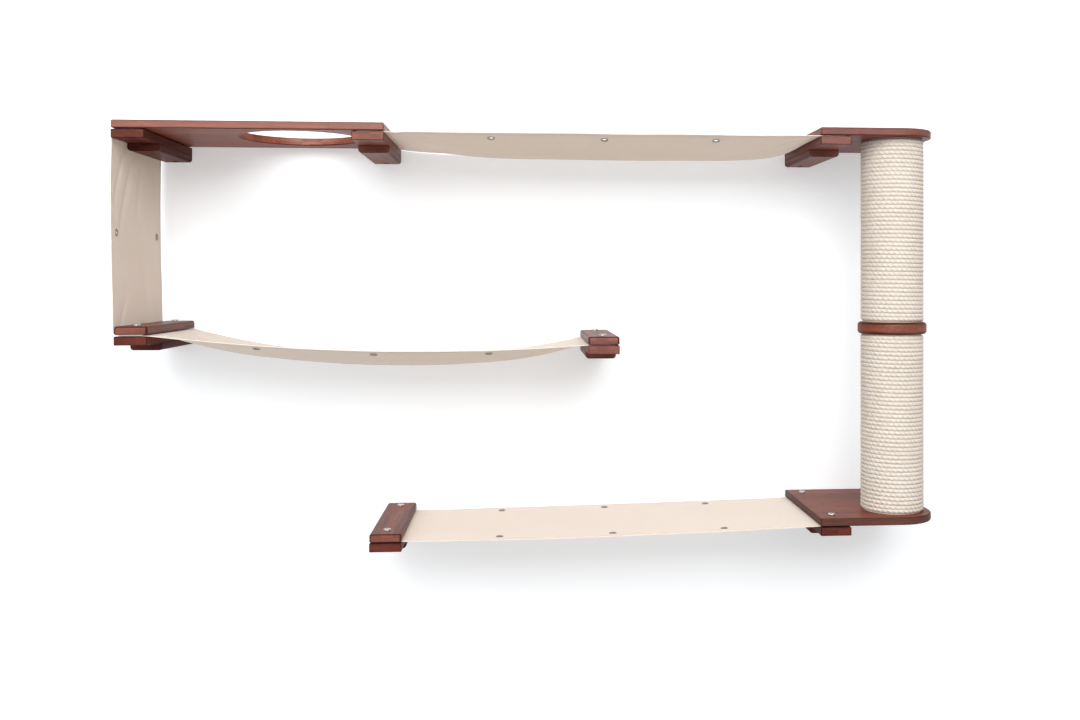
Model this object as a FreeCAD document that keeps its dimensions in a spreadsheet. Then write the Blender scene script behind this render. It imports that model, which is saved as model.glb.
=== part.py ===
import FreeCAD, Part
import math
import os
import re
import Sketcher

from FreeCAD import Placement, Rotation, Vector

# Wall mounted cat tree, in millimetres. X runs along the wall to the right, the wall is the
# plane Y = 0, the front faces -Y and Z is up. The origin is the middle of the wall face of the
# top left bracket. Seven brackets carry a board with a hatch, four stretched canvases and a
# roped post held between two boards.

os.makedirs("parts", exist_ok=True)
doc = FreeCAD.newDocument("WallCatTree")

SIZES = {
    # spacings between bracket centres, along the wall
    "hatch_span": 400,
    "bridge_span": 820,
    "hammock_span": 802,
    "shelf_span": 790,
    "hammock_offset": 5,
    # bracket tops below the top row, as hung
    "hammock_left_drop": 351,
    "hammock_right_drop": 370,
    "shelf_left_drop": 708,
    "post_bottom_drop": 694,
    # brackets: a bar over the full depth, and a shorter foot under it against the wall
    "shelf_depth": 279,
    "bracket_width": 55,
    "bar_thick": 15,
    "bar_round": 1.5,
    "foot_thick": 13,
    "foot_setback": 82,
    "foot_round": 6,
    # slanted wall screw bore in each foot
    "screw_radius": 2.8,
    "screw_head_radius": 5,
    "screw_shoulder": 9,
    "screw_angle": 32,
    "screw_below_bar": 4.5,
    # boards and clamp planks
    "board_thick": 14,
    "board_round": 2.5,
    "plank_round": 4,
    "plank_corner": 5,
    "hatch_front_margin": 22,
    "hatch_wall_margin": 43,
    "hatch_bracket_gap": 2.5,
    "hatch_round": 2,
    "post_board_corner": 70,
    "post_board_left_corner": 4,
    # post
    "post_offset": 125,
    "post_front_setback": 17,
    "post_radius": 57,
    "post_board_overhang": 11,
    "upper_rope_length": 334,
    "disc_thick": 22,
    "disc_overhang": 5,
    "disc_round": 6,
    "rope_gap": 0.7,
    "rope_end_gap": 1.3,
    "core_wall": 6,
    "core_gap": 0.4,
    "plug_thick": 18,
    "plug_gap": 0.2,
    # clamp bolts and the threaded inserts in the bars
    "bolt_inset": 32,
    "bolt_radius": 3,
    "bolt_gap": 0.3,
    "bolt_head_radius": 6.5,
    "bolt_head_height": 3,
    "bolt_head_round": 1.8,
    "bolt_socket_radius": 2.3,
    "bolt_socket_depth": 1.6,
    "bolt_in_bar": 10,
    "insert_radius": 5,
    "insert_length": 11,
    "insert_flange_radius": 6.5,
    "insert_flange_thick": 1.2,
    "insert_gap": 0.2,
    # post bolts and the stud through the disc
    "post_bolt_radius": 4,
    "post_bolt_head_radius": 8,
    "post_bolt_head_height": 4,
    "post_bolt_gap": 0.15,
    # canvases
    "cloth_thick": 1.2,
    "cloth_gap": 0.3,
    "cloth_from_wall": 8,
    "cloth_from_front": 9,
    "cloth_past_bolt": 20,
    "cloth_trough": 28,
    "bridge_wall_sag": 9,
    "hammock_front_sag": 18,
    "hammock_wall_sag": 30,
    "shelf_front_sag": 5,
    "shelf_wall_sag": 1,
    "shelf_trough": 2,
    "panel_bow": 4,
    # eyelets
    "eyelet_pitch": 200,
    "eyelet_inset": 25,
    "eyelet_radius": 7,
    "eyelet_hole_radius": 4.5,
    "eyelet_wall": 0.5,
    "eyelet_flange_thick": 0.7,
    "eyelet_gap": 0.25,
}
ROPE_LOOPS = 24

sheet = doc.addObject("Spreadsheet::Sheet", "Sizes")
for row, (alias, amount) in enumerate(SIZES.items(), start=1):
    sheet.set("A%d" % row, alias)
    sheet.set("B%d" % row, str(amount))
    sheet.setAlias("B%d" % row, alias)
doc.recompute()


def size(alias):
    """A driving size as the sheet holds it."""
    return float(sheet.get(alias))


def cells(text):
    """An expression in which each alias points at its cell."""
    return re.sub(r"[a-z_]+", lambda word: "Sizes." + word[0] if word[0] in SIZES else word[0], text)


def bind(thing, prop, text):
    thing.setExpression(prop, cells(text))


# ---- where things sit, as expressions of the driving sizes ----

TOP_LEVEL = "(bar_thick + foot_thick) / 2"
SINGLE_CLAMP = "(cloth_thick + 2 * cloth_gap)"
DOUBLE_CLAMP = "(2 * cloth_thick + 3 * cloth_gap)"
POST_BRACKET_X = "(hatch_span + bridge_span)"

# name: (centre along the wall, height of the bar's top, gap between the bar and what lies on it)
BRACKETS = {
    "hatch_left": ("0", TOP_LEVEL, SINGLE_CLAMP),
    "hatch_right": ("hatch_span", TOP_LEVEL, SINGLE_CLAMP),
    "post_top": (POST_BRACKET_X, TOP_LEVEL, SINGLE_CLAMP),
    "hammock_left": ("hammock_offset", TOP_LEVEL + " - hammock_left_drop", DOUBLE_CLAMP),
    "hammock_right": ("hammock_offset + hammock_span", TOP_LEVEL + " - hammock_right_drop", SINGLE_CLAMP),
    "shelf_left": (POST_BRACKET_X + " - shelf_span", TOP_LEVEL + " - shelf_left_drop", SINGLE_CLAMP),
    "post_bottom": (POST_BRACKET_X, TOP_LEVEL + " - post_bottom_drop", SINGLE_CLAMP),
}
ROWS = {
    "top": ("hatch_left", "hatch_right", "post_top"),
    "middle": ("hammock_left", "hammock_right"),
    "lower": ("shelf_left", "post_bottom"),
}
BOLT_ROWS = {"front": "-(shelf_depth - bolt_inset)", "rear": "-bolt_inset"}

# the hatch fills the board's depth between its two margins, next to the right bracket
HATCH_RADIUS = "((shelf_depth - hatch_front_margin - hatch_wall_margin) / 2)"
HATCH_X = "hatch_span - bracket_width / 2 - hatch_bracket_gap - " + HATCH_RADIUS
HATCH_Y = "-(hatch_wall_margin + " + HATCH_RADIUS + ")"

POST_X = POST_BRACKET_X + " + post_offset"
POST_Y = "-(shelf_depth - post_front_setback - post_radius)"
UPPER_ROPE_TOP = TOP_LEVEL + " + " + SINGLE_CLAMP
DISC_TOP = UPPER_ROPE_TOP + " - upper_rope_length"
LOWER_ROPE_TOP = DISC_TOP + " - disc_thick"
LOWER_BOARD_TOP = TOP_LEVEL + " - post_bottom_drop + " + SINGLE_CLAMP + " + board_thick"
LOWER_ROPE_LENGTH = "(" + LOWER_ROPE_TOP + " - (" + LOWER_BOARD_TOP + "))"
# the rope fills the shorter segment with its loops, a small gap apart
ROPE_ROOM = "(min(upper_rope_length; " + LOWER_ROPE_LENGTH + ") - 2 * rope_end_gap + rope_gap)"
STRAND_THICK = "(%s / %d - rope_gap)" % (ROPE_ROOM, ROPE_LOOPS + 1)
CORE_RADIUS = "(post_radius - " + STRAND_THICK + " - core_gap)"


# ---- helpers for bodies ----

def new_body(name):
    body = doc.addObject("PartDesign::Body", name)
    body.Label = name
    return body


def place(thing, across, outward, upward):
    bind(thing, "Placement.Base.x", across)
    bind(thing, "Placement.Base.y", outward)
    bind(thing, "Placement.Base.z", upward)


def new_sketch(body, name, role):
    sketch = body.newObject("Sketcher::SketchObject", name)
    planes = [plane for plane in body.Origin.OriginFeatures if plane.Role == role]
    sketch.AttachmentSupport = (planes[0], [""])
    sketch.MapMode = "FlatFace"
    return sketch


def pin_point(sketch, geometry, corner, first, second):
    """Tie one point of a sketch to a pair of expressions."""
    if first == "0":
        sketch.addConstraint(Sketcher.Constraint("PointOnObject", geometry, corner, -2))
    else:
        index = sketch.addConstraint(Sketcher.Constraint("DistanceX", -1, 1, geometry, corner, 1.0))
        bind(sketch, "Constraints[%d]" % index, first)
    if second == "0":
        sketch.addConstraint(Sketcher.Constraint("PointOnObject", geometry, corner, -1))
    else:
        index = sketch.addConstraint(Sketcher.Constraint("DistanceY", -1, 1, geometry, corner, 1.0))
        bind(sketch, "Constraints[%d]" % index, second)


def draw_outline(sketch, points):
    """A closed outline through points given as pairs of expressions."""
    count = len(points)
    for index in range(count):
        here = Vector(math.cos(2 * math.pi * index / count), math.sin(2 * math.pi * index / count), 0)
        there = Vector(
            math.cos(2 * math.pi * (index + 1) / count), math.sin(2 * math.pi * (index + 1) / count), 0
        )
        sketch.addGeometry(Part.LineSegment(here, there), False)
    for index in range(count):
        sketch.addConstraint(Sketcher.Constraint("Coincident", index, 2, (index + 1) % count, 1))
    for index, (first, second) in enumerate(points):
        pin_point(sketch, index, 1, first, second)


def draw_circle(sketch, first, second, radius):
    index = sketch.addGeometry(Part.Circle(Vector(1, 1, 0), Vector(0, 0, 1), 2.0), False)
    pin_point(sketch, index, 3, first, second)
    constraint = sketch.addConstraint(Sketcher.Constraint("Radius", index, 2.0))
    bind(sketch, "Constraints[%d]" % constraint, radius)


def pad(body, sketch, length):
    feature = body.newObject("PartDesign::Pad", body.Name + "_pad")
    feature.Profile = sketch
    bind(feature, "Length", length)
    doc.recompute()
    return feature


def pocket(body, name, sketch, length):
    """A blind or through cut below the sketch; it has to take material away."""
    before = body.Shape.Volume
    feature = body.newObject("PartDesign::Pocket", name)
    feature.Profile = sketch
    bind(feature, "Length", length)
    doc.recompute()
    assert body.Shape.Volume < before, name + " cuts nothing"
    return feature


def turn(body, points):
    """A solid of revolution about Z from an outline of (radius, height) expressions."""
    sketch = new_sketch(body, body.Name + "_profile", "XZ_Plane")
    draw_outline(sketch, points)
    feature = body.newObject("PartDesign::Revolution", body.Name + "_turned")
    feature.Profile = sketch
    feature.ReferenceAxis = (sketch, ["V_Axis"])
    feature.Angle = 360
    doc.recompute()
    return feature


def edges_where(shape, test):
    return ["Edge%d" % number for number, edge in enumerate(shape.Edges, start=1) if test(edge)]


def round_edges(body, name, radius, test):
    base = body.Tip
    feature = body.newObject("PartDesign::Fillet", name)
    feature.Base = (base, edges_where(base.Shape, test))
    bind(feature, "Radius", radius)
    doc.recompute()
    return feature


def near(first, second):
    return abs(first - second) < 0.01


def at_height(edge, height):
    return near(edge.BoundBox.ZMin, height) and near(edge.BoundBox.ZMax, height)


def upright(edge):
    return edge.BoundBox.XLength < 0.01 and edge.BoundBox.YLength < 0.01


def along_depth(edge):
    return edge.BoundBox.XLength < 0.01 and edge.BoundBox.ZLength < 0.01


def at_corner(edge, box):
    """True for an upright edge on a corner of the plan."""
    spot = edge.CenterOfMass
    on_side = near(spot.x, box.XMin) or near(spot.x, box.XMax)
    on_end = near(spot.y, box.YMin) or near(spot.y, box.YMax)
    return upright(edge) and on_side and on_end


def is_ring(edge, radius):
    """True for a whole level circle of this radius."""
    box = edge.BoundBox
    return near(box.XLength, 2 * radius) and near(box.YLength, 2 * radius) and box.ZLength < 0.01


def is_bore(edge):
    """True for a closed edge, such as the mouth of a bolt hole."""
    return edge.isClosed()


def is_seam(edge, box):
    """True for an upright edge inside the plan, which is only where a hole's face closes."""
    return upright(edge) and not at_corner(edge, box)


def bolt_circles(sketch, across, radius):
    for outward in BOLT_ROWS.values():
        draw_circle(sketch, across, outward, radius)


# ---- brackets ----

def make_bar(name):
    """The bracket's bar, with two stepped blind bores from above for its inserts."""
    body = new_body("bar_" + name)
    sketch = new_sketch(body, body.Name + "_section", "XZ_Plane")
    draw_outline(sketch, [
        ("-bracket_width / 2", "0"),
        ("-bracket_width / 2", "-bar_thick"),
        ("bracket_width / 2", "-bar_thick"),
        ("bracket_width / 2", "0"),
    ])
    pad(body, sketch, "shelf_depth")
    front = -size("shelf_depth")
    round_edges(
        body, body.Name + "_rounding", "bar_round",
        lambda edge: along_depth(edge) or near(edge.BoundBox.YMax, front),
    )
    flange_sketch = new_sketch(body, body.Name + "_flange_seats", "XY_Plane")
    bolt_circles(flange_sketch, "0", "insert_flange_radius + insert_gap")
    pocket(body, body.Name + "_flange_pocket", flange_sketch, "insert_flange_thick")
    bore_sketch = new_sketch(body, body.Name + "_insert_bores", "XY_Plane")
    bolt_circles(bore_sketch, "0", "insert_radius + insert_gap")
    pocket(body, body.Name + "_bore_pocket", bore_sketch, "insert_length + insert_gap")
    return body


def make_foot(name):
    """The short layer under the bar, with the slanted wall screw bore."""
    body = new_body("foot_" + name)
    sketch = new_sketch(body, body.Name + "_section", "XZ_Plane")
    draw_outline(sketch, [
        ("-bracket_width / 2", "-bar_thick"),
        ("-bracket_width / 2", "-(bar_thick + foot_thick)"),
        ("bracket_width / 2", "-(bar_thick + foot_thick)"),
        ("bracket_width / 2", "-bar_thick"),
    ])
    pad(body, sketch, "shelf_depth - foot_setback")
    base = -(size("bar_thick") + size("foot_thick"))
    round_edges(
        body, body.Name + "_rounding", "foot_round",
        lambda edge: along_depth(edge) and at_height(edge, base),
    )
    add_screw_bore(body)
    return body


def add_screw_bore(body):
    """Cut the bore and its wider mouth as one groove about a slanted line in the plane X = 0."""
    cosine = "cos(screw_angle * 1 deg)"
    sine = "sin(screw_angle * 1 deg)"
    height = "-(bar_thick + screw_below_bar)"
    reach = "(2 * foot_thick)"
    # distance along the line from the wall, and distance from the line
    stations = [
        ("-foot_thick", "0"),
        ("-foot_thick", "screw_radius"),
        ("screw_shoulder", "screw_radius"),
        ("screw_shoulder", "screw_head_radius"),
        (reach, "screw_head_radius"),
        (reach, "0"),
    ]
    points = []
    for along, off in stations:
        outward = "-(%s) * %s - (%s) * %s" % (along, cosine, off, sine)
        upward = "%s - (%s) * %s + (%s) * %s" % (height, along, sine, off, cosine)
        points.append((outward, upward))
    sketch = new_sketch(body, body.Name + "_bore_section", "YZ_Plane")
    draw_outline(sketch, points)
    last = len(points) - 1
    axis = sketch.addGeometry(Part.LineSegment(Vector(5, 0, 0), Vector(0, 5, 0)), True)
    sketch.addConstraint(Sketcher.Constraint("Coincident", axis, 1, last, 1))
    sketch.addConstraint(Sketcher.Constraint("Coincident", axis, 2, 0, 1))
    before = body.Shape.Volume
    groove = body.newObject("PartDesign::Groove", body.Name + "_screw_bore")
    groove.Profile = sketch
    groove.ReferenceAxis = (sketch, ["Axis0"])
    groove.Angle = 360
    doc.recompute()
    assert body.Shape.Volume < before, "the screw bore cuts nothing"


for name, (across, upward, gap) in BRACKETS.items():
    place(make_bar(name), across, "0", upward)
    place(make_foot(name), across, "0", upward)


# ---- boards and clamp planks ----

def make_plank(name):
    """A loose plank as large as the bracket, which clamps the canvas with two bolts."""
    body = new_body("plank_" + name)
    sketch = new_sketch(body, body.Name + "_plan", "XY_Plane")
    draw_outline(sketch, [
        ("-bracket_width / 2", "0"),
        ("-bracket_width / 2", "-shelf_depth"),
        ("bracket_width / 2", "-shelf_depth"),
        ("bracket_width / 2", "0"),
    ])
    bolt_circles(sketch, "0", "bolt_radius + bolt_gap")
    pad(body, sketch, "board_thick")
    box = body.Shape.BoundBox
    round_edges(
        body, body.Name + "_corners", "plank_corner",
        lambda edge: at_corner(edge, box),
    )
    round_edges(
        body, body.Name + "_top_rounding", "plank_round",
        lambda edge: at_height(edge, box.ZMax) and not is_bore(edge),
    )
    round_edges(
        body, body.Name + "_base_rounding", "bar_round",
        lambda edge: at_height(edge, box.ZMin) and not is_bore(edge),
    )
    return body


def make_hatch_board():
    """The board over the two left brackets, with its round hatch near the right end."""
    body = new_body("hatch_board")
    sketch = new_sketch(body, "hatch_board_plan", "XY_Plane")
    draw_outline(sketch, [
        ("-bracket_width / 2", "0"),
        ("-bracket_width / 2", "-shelf_depth"),
        ("hatch_span + bracket_width / 2", "-shelf_depth"),
        ("hatch_span + bracket_width / 2", "0"),
    ])
    draw_circle(sketch, HATCH_X, HATCH_Y, HATCH_RADIUS)
    bolt_circles(sketch, "0", "bolt_radius + bolt_gap")
    bolt_circles(sketch, "hatch_span", "bolt_radius + bolt_gap")
    pad(body, sketch, "board_thick")
    hatch = (size("shelf_depth") - size("hatch_front_margin") - size("hatch_wall_margin")) / 2
    round_edges(body, "hatch_rounding", "hatch_round", lambda edge: is_ring(edge, hatch))
    round_edges(
        body, "hatch_board_rounding", "board_round",
        lambda edge: not is_bore(edge) and not is_seam(edge, body.Shape.BoundBox),
    )
    return body


def make_post_board(name):
    """A board from a bracket to the post, with one large round corner round the post."""
    body = new_body(name)
    sketch = new_sketch(body, name + "_plan", "XY_Plane")
    right = "post_offset + post_radius + post_board_overhang"
    draw_outline(sketch, [
        ("-bracket_width / 2", "0"),
        ("-bracket_width / 2", "-shelf_depth"),
        (right, "-shelf_depth"),
        (right, "0"),
    ])
    bolt_circles(sketch, "0", "bolt_radius + bolt_gap")
    draw_circle(sketch, "post_offset", POST_Y, "post_bolt_radius + post_bolt_gap")
    pad(body, sketch, "board_thick")
    box = body.Shape.BoundBox
    round_edges(
        body, name + "_post_corner", "post_board_corner",
        lambda edge: at_corner(edge, box) and near(edge.BoundBox.XMin, box.XMax)
        and near(edge.BoundBox.YMin, box.YMin),
    )
    round_edges(
        body, name + "_left_corners", "post_board_left_corner",
        lambda edge: at_corner(edge, box) and near(edge.BoundBox.XMin, box.XMin),
    )
    for face, height in (("top", box.ZMax), ("base", box.ZMin)):
        round_edges(
            body, name + "_" + face + "_rounding", "board_round",
            lambda edge: at_height(edge, height) and not is_bore(edge),
        )
    return body


for name in ("hammock_left", "hammock_right", "shelf_left"):
    across, upward, gap = BRACKETS[name]
    place(make_plank(name), across, "0", upward + " + " + gap)

place(make_hatch_board(), "0", "0", UPPER_ROPE_TOP)
place(make_post_board("upper_post_board"), POST_BRACKET_X, "0", UPPER_ROPE_TOP)
place(make_post_board("lower_post_board"), POST_BRACKET_X, "0", LOWER_BOARD_TOP + " - board_thick")


# ---- clamp bolts and inserts ----

def hexagon(radius):
    """Corner expressions of a hexagon about the origin."""
    corners = []
    for index in range(6):
        angle = 60 * index + 30
        corners.append(("%s * cos(%d deg)" % (radius, angle), "%s * sin(%d deg)" % (radius, angle)))
    return corners


def make_bolt(name, gap):
    """A button head bolt; its seat is at height 0."""
    body = new_body(name)
    shank = "-(board_thick + %s + bolt_in_bar)" % gap
    turn(body, [
        ("0", shank),
        ("bolt_radius", shank),
        ("bolt_radius", "0"),
        ("bolt_head_radius", "0"),
        ("bolt_head_radius", "bolt_head_height"),
        ("0", "bolt_head_height"),
    ])
    top = size("bolt_head_height")
    round_edges(
        body, name + "_dome", "bolt_head_round",
        lambda edge: at_height(edge, top) and is_bore(edge),
    )
    return body


def cut_socket(body, top):
    """A hexagon socket sunk into the head from its top."""
    sketch = new_sketch(body, body.Name + "_socket", "XY_Plane")
    bind(sketch, "AttachmentOffset.Base.z", top)
    draw_outline(sketch, hexagon("bolt_socket_radius"))
    pocket(body, body.Name + "_socket_pocket", sketch, "bolt_socket_depth")


def make_insert():
    """A flanged threaded insert; the flange's top is at height 0."""
    body = new_body("insert_master")
    turn(body, [
        ("bolt_radius + bolt_gap / 2", "0"),
        ("bolt_radius + bolt_gap / 2", "-insert_length"),
        ("insert_radius", "-insert_length"),
        ("insert_radius", "-insert_flange_thick"),
        ("insert_flange_radius", "-insert_flange_thick"),
        ("insert_flange_radius", "0"),
    ])
    return body


for name, (across, upward, gap) in BRACKETS.items():
    for row, outward in BOLT_ROWS.items():
        bolt = make_bolt("bolt_" + name + "_" + row, gap)
        cut_socket(bolt, "bolt_head_height")
        place(bolt, across, outward, upward + " + " + gap + " + board_thick")


def bracket_origin(name):
    """Middle of the top of a bracket's bar at the wall."""
    return doc.getObject("bar_" + name).Placement.Base


def group(label, shape, placements):
    """Copies of one small shape, kept together as one sub-part."""
    copies = []
    for placement in placements:
        copy = shape.copy()
        copy.Placement = placement
        copies.append(copy)
    feature = doc.addObject("Part::Feature", label)
    feature.Label = label
    feature.Shape = Part.makeCompound(copies)
    return feature


insert = make_insert()
bolt_places = (-(size("shelf_depth") - size("bolt_inset")), -size("bolt_inset"))
for row, names in ROWS.items():
    seats = [bracket_origin(name) + Vector(0, outward, 0) for name in names for outward in bolt_places]
    group("inserts_" + row + "_row", insert.Shape, [Placement(seat, Rotation()) for seat in seats])


# ---- post: core tubes, plugs, disc, bolts and stud ----

def make_core(name, length):
    """A plain tube under the rope, standing on height 0."""
    body = new_body(name)
    inner = CORE_RADIUS + " - core_wall"
    turn(body, [(inner, "0"), (CORE_RADIUS, "0"), (CORE_RADIUS, length), (inner, length)])
    return body


def make_plug(name):
    """A wooden plug inside a core tube's end, standing on height 0, with a bore for its bolt."""
    body = new_body(name)
    outer = CORE_RADIUS + " - core_wall - plug_gap"
    bore = "post_bolt_radius + post_bolt_gap"
    turn(body, [(bore, "0"), (outer, "0"), (outer, "plug_thick"), (bore, "plug_thick")])
    return body


def make_disc():
    """The rounded wooden disc between the two roped segments, standing on height 0."""
    body = new_body("post_disc")
    outer = "post_radius + disc_overhang"
    bore = "post_bolt_radius + post_bolt_gap"
    turn(body, [(bore, "0"), (outer, "0"), (outer, "disc_thick"), (bore, "disc_thick")])
    rim = size("post_radius") + size("disc_overhang")
    round_edges(
        body, "post_disc_rounding", "disc_round",
        lambda edge: is_ring(edge, rim),
    )
    return body


def make_post_bolt(name, side):
    """A domed bolt through a post board into its plug; side is 1 for a head above the board."""
    body = new_body(name)
    shank = "%d * (board_thick + plug_thick)" % -side
    head = "%d * post_bolt_head_height" % side
    turn(body, [
        ("0", shank),
        ("post_bolt_radius", shank),
        ("post_bolt_radius", "0"),
        ("post_bolt_head_radius", "0"),
        ("post_bolt_head_radius", head),
        ("0", head),
    ])
    top = side * size("post_bolt_head_height")
    round_edges(
        body, name + "_dome", "bolt_head_round",
        lambda edge: at_height(edge, top) and is_bore(edge),
    )
    return body


def make_stud():
    """The stud that joins both segments through the disc; its foot is at height 0."""
    body = new_body("post_stud")
    length = "disc_thick + 2 * plug_thick"
    turn(body, [("0", "0"), ("post_bolt_radius", "0"), ("post_bolt_radius", length), ("0", length)])
    return body


DISC_BASE = LOWER_ROPE_TOP
place(make_core("core_upper", "upper_rope_length"), POST_X, POST_Y, DISC_TOP)
place(make_core("core_lower", LOWER_ROPE_LENGTH), POST_X, POST_Y, LOWER_BOARD_TOP)
place(make_plug("plug_upper_top"), POST_X, POST_Y, UPPER_ROPE_TOP + " - plug_thick")
place(make_plug("plug_upper_base"), POST_X, POST_Y, DISC_TOP)
place(make_plug("plug_lower_top"), POST_X, POST_Y, DISC_BASE + " - plug_thick")
place(make_plug("plug_lower_base"), POST_X, POST_Y, LOWER_BOARD_TOP)
place(make_disc(), POST_X, POST_Y, DISC_BASE)
place(make_stud(), POST_X, POST_Y, DISC_BASE + " - plug_thick")
place(make_post_bolt("post_bolt_top", 1), POST_X, POST_Y, UPPER_ROPE_TOP + " + board_thick")
place(make_post_bolt("post_bolt_base", -1), POST_X, POST_Y, LOWER_BOARD_TOP + " - board_thick")
doc.recompute()


# ---- rope windings ----

def arc_between(start, end, corner):
    """The arc from start to end whose end tangents meet at the corner point."""
    middle = (start + end) * 0.5
    half = (end - start).Length / 2
    rise = (corner - middle).Length
    bulge = half * math.tan(math.atan2(rise, half) / 2)
    towards = (corner - middle).normalize()
    return Part.Arc(start, middle + towards * bulge, end)


def biarc(start, start_way, end, end_way):
    """Two arcs that leave start and reach end along the given directions."""
    span = end - start
    both = start_way + end_way
    a = 2 * (1 - start_way.dot(end_way))
    b = 2 * span.dot(both)
    c = -span.dot(span)
    reach = (-b + math.sqrt(b * b - 4 * a * c)) / (2 * a)
    first_corner = start + start_way * reach
    second_corner = end - end_way * reach
    join = (first_corner + second_corner) * 0.5
    return [arc_between(start, join, first_corner), arc_between(join, end, second_corner)]


def helix_point(radius, rise, angle):
    return Vector(radius * math.cos(angle), radius * math.sin(angle), rise * angle / (2 * math.pi))


def helix_way(radius, rise, angle):
    way = Vector(-radius * math.sin(angle), radius * math.cos(angle), rise / (2 * math.pi))
    return way.normalize()


def make_winding(name, base, top, centre):
    """One unbroken strand wound from base to top, with straight ends one diameter long."""
    core = doc.getObject("core_upper").Shape.BoundBox
    strand = size("post_radius") - size("core_gap") - core.XLength / 2
    radius = size("post_radius") - strand / 2
    rise = (top - base - 2 * size("rope_end_gap") - strand) / ROPE_LOOPS
    start_angle = math.pi / 2
    arcs = []
    for half_turn in range(2 * ROPE_LOOPS):
        here = start_angle + half_turn * math.pi
        there = here + math.pi
        arcs += biarc(
            helix_point(radius, rise, here), helix_way(radius, rise, here),
            helix_point(radius, rise, there), helix_way(radius, rise, there),
        )
    first = arcs[0].value(arcs[0].FirstParameter)
    last = arcs[-1].value(arcs[-1].LastParameter)
    way_in = helix_way(radius, rise, start_angle)
    way_out = helix_way(radius, rise, start_angle + 2 * math.pi * ROPE_LOOPS)
    lead_in = Part.LineSegment(first - way_in * strand, first)
    lead_out = Part.LineSegment(last, last + way_out * strand)
    path = Part.Wire([piece.toShape() for piece in [lead_in] + arcs + [lead_out]])
    section = Part.Wire([Part.Circle(first - way_in * strand, way_in, strand / 2).toShape()])
    solid = path.makePipeShell([section], True, False)
    expected = math.pi * strand * strand / 4 * path.Length
    print("%s: volume %.4f of its section times its length" % (name, solid.Volume / expected))
    print("%s: least gap to itself %.2f mm" % (name, least_gap(path, strand)))
    feature = doc.addObject("Part::Feature", name)
    feature.Label = name
    feature.Shape = solid
    lift = base + size("rope_end_gap") + strand / 2 - rise * start_angle / (2 * math.pi)
    feature.Placement = Placement(Vector(centre.x, centre.y, lift), Rotation())
    return feature


def least_gap(path, strand):
    """Least gap between turns, from half a turn to one and a half turns further along."""
    spots_per_turn = 48
    half_turn = spots_per_turn // 2
    spots = path.discretize(Number=ROPE_LOOPS * spots_per_turn)
    least = path.Length
    for index, spot in enumerate(spots):
        for other in spots[index + half_turn:index + 3 * half_turn + 1]:
            least = min(least, spot.distanceToPoint(other))
    return least - strand


post_centre = doc.getObject("core_upper").Placement.Base
disc_box = doc.getObject("post_disc").Shape.BoundBox
upper_board_base = doc.getObject("upper_post_board").Placement.Base.z
lower_board_top = doc.getObject("core_lower").Placement.Base.z
make_winding("rope_upper", disc_box.ZMax, upper_board_base, post_centre)
make_winding("rope_lower", lower_board_top, disc_box.ZMin, post_centre)


# ---- canvases ----

CLOTH = size("cloth_thick")
CLOTH_GAP = size("cloth_gap")
WALL_EDGE = -size("cloth_from_wall")
FRONT_EDGE = -(size("shelf_depth") - size("cloth_from_front"))
CLOTH_WIDTH = WALL_EDGE - FRONT_EDGE


def cut_holes(shape, tools):
    for tool in tools:
        shape = shape.cut(tool)
    return shape


def bolt_holes(name):
    """Cutters for the two bolts of a bracket."""
    seat = bracket_origin(name)
    radius = size("bolt_radius") + CLOTH_GAP
    height = 4 * size("board_thick")
    tools = []
    for outward in bolt_places:
        foot = Vector(seat.x, outward, seat.z - height / 2)
        tools.append(Part.makeCylinder(radius, height, foot))
    return tools


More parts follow.
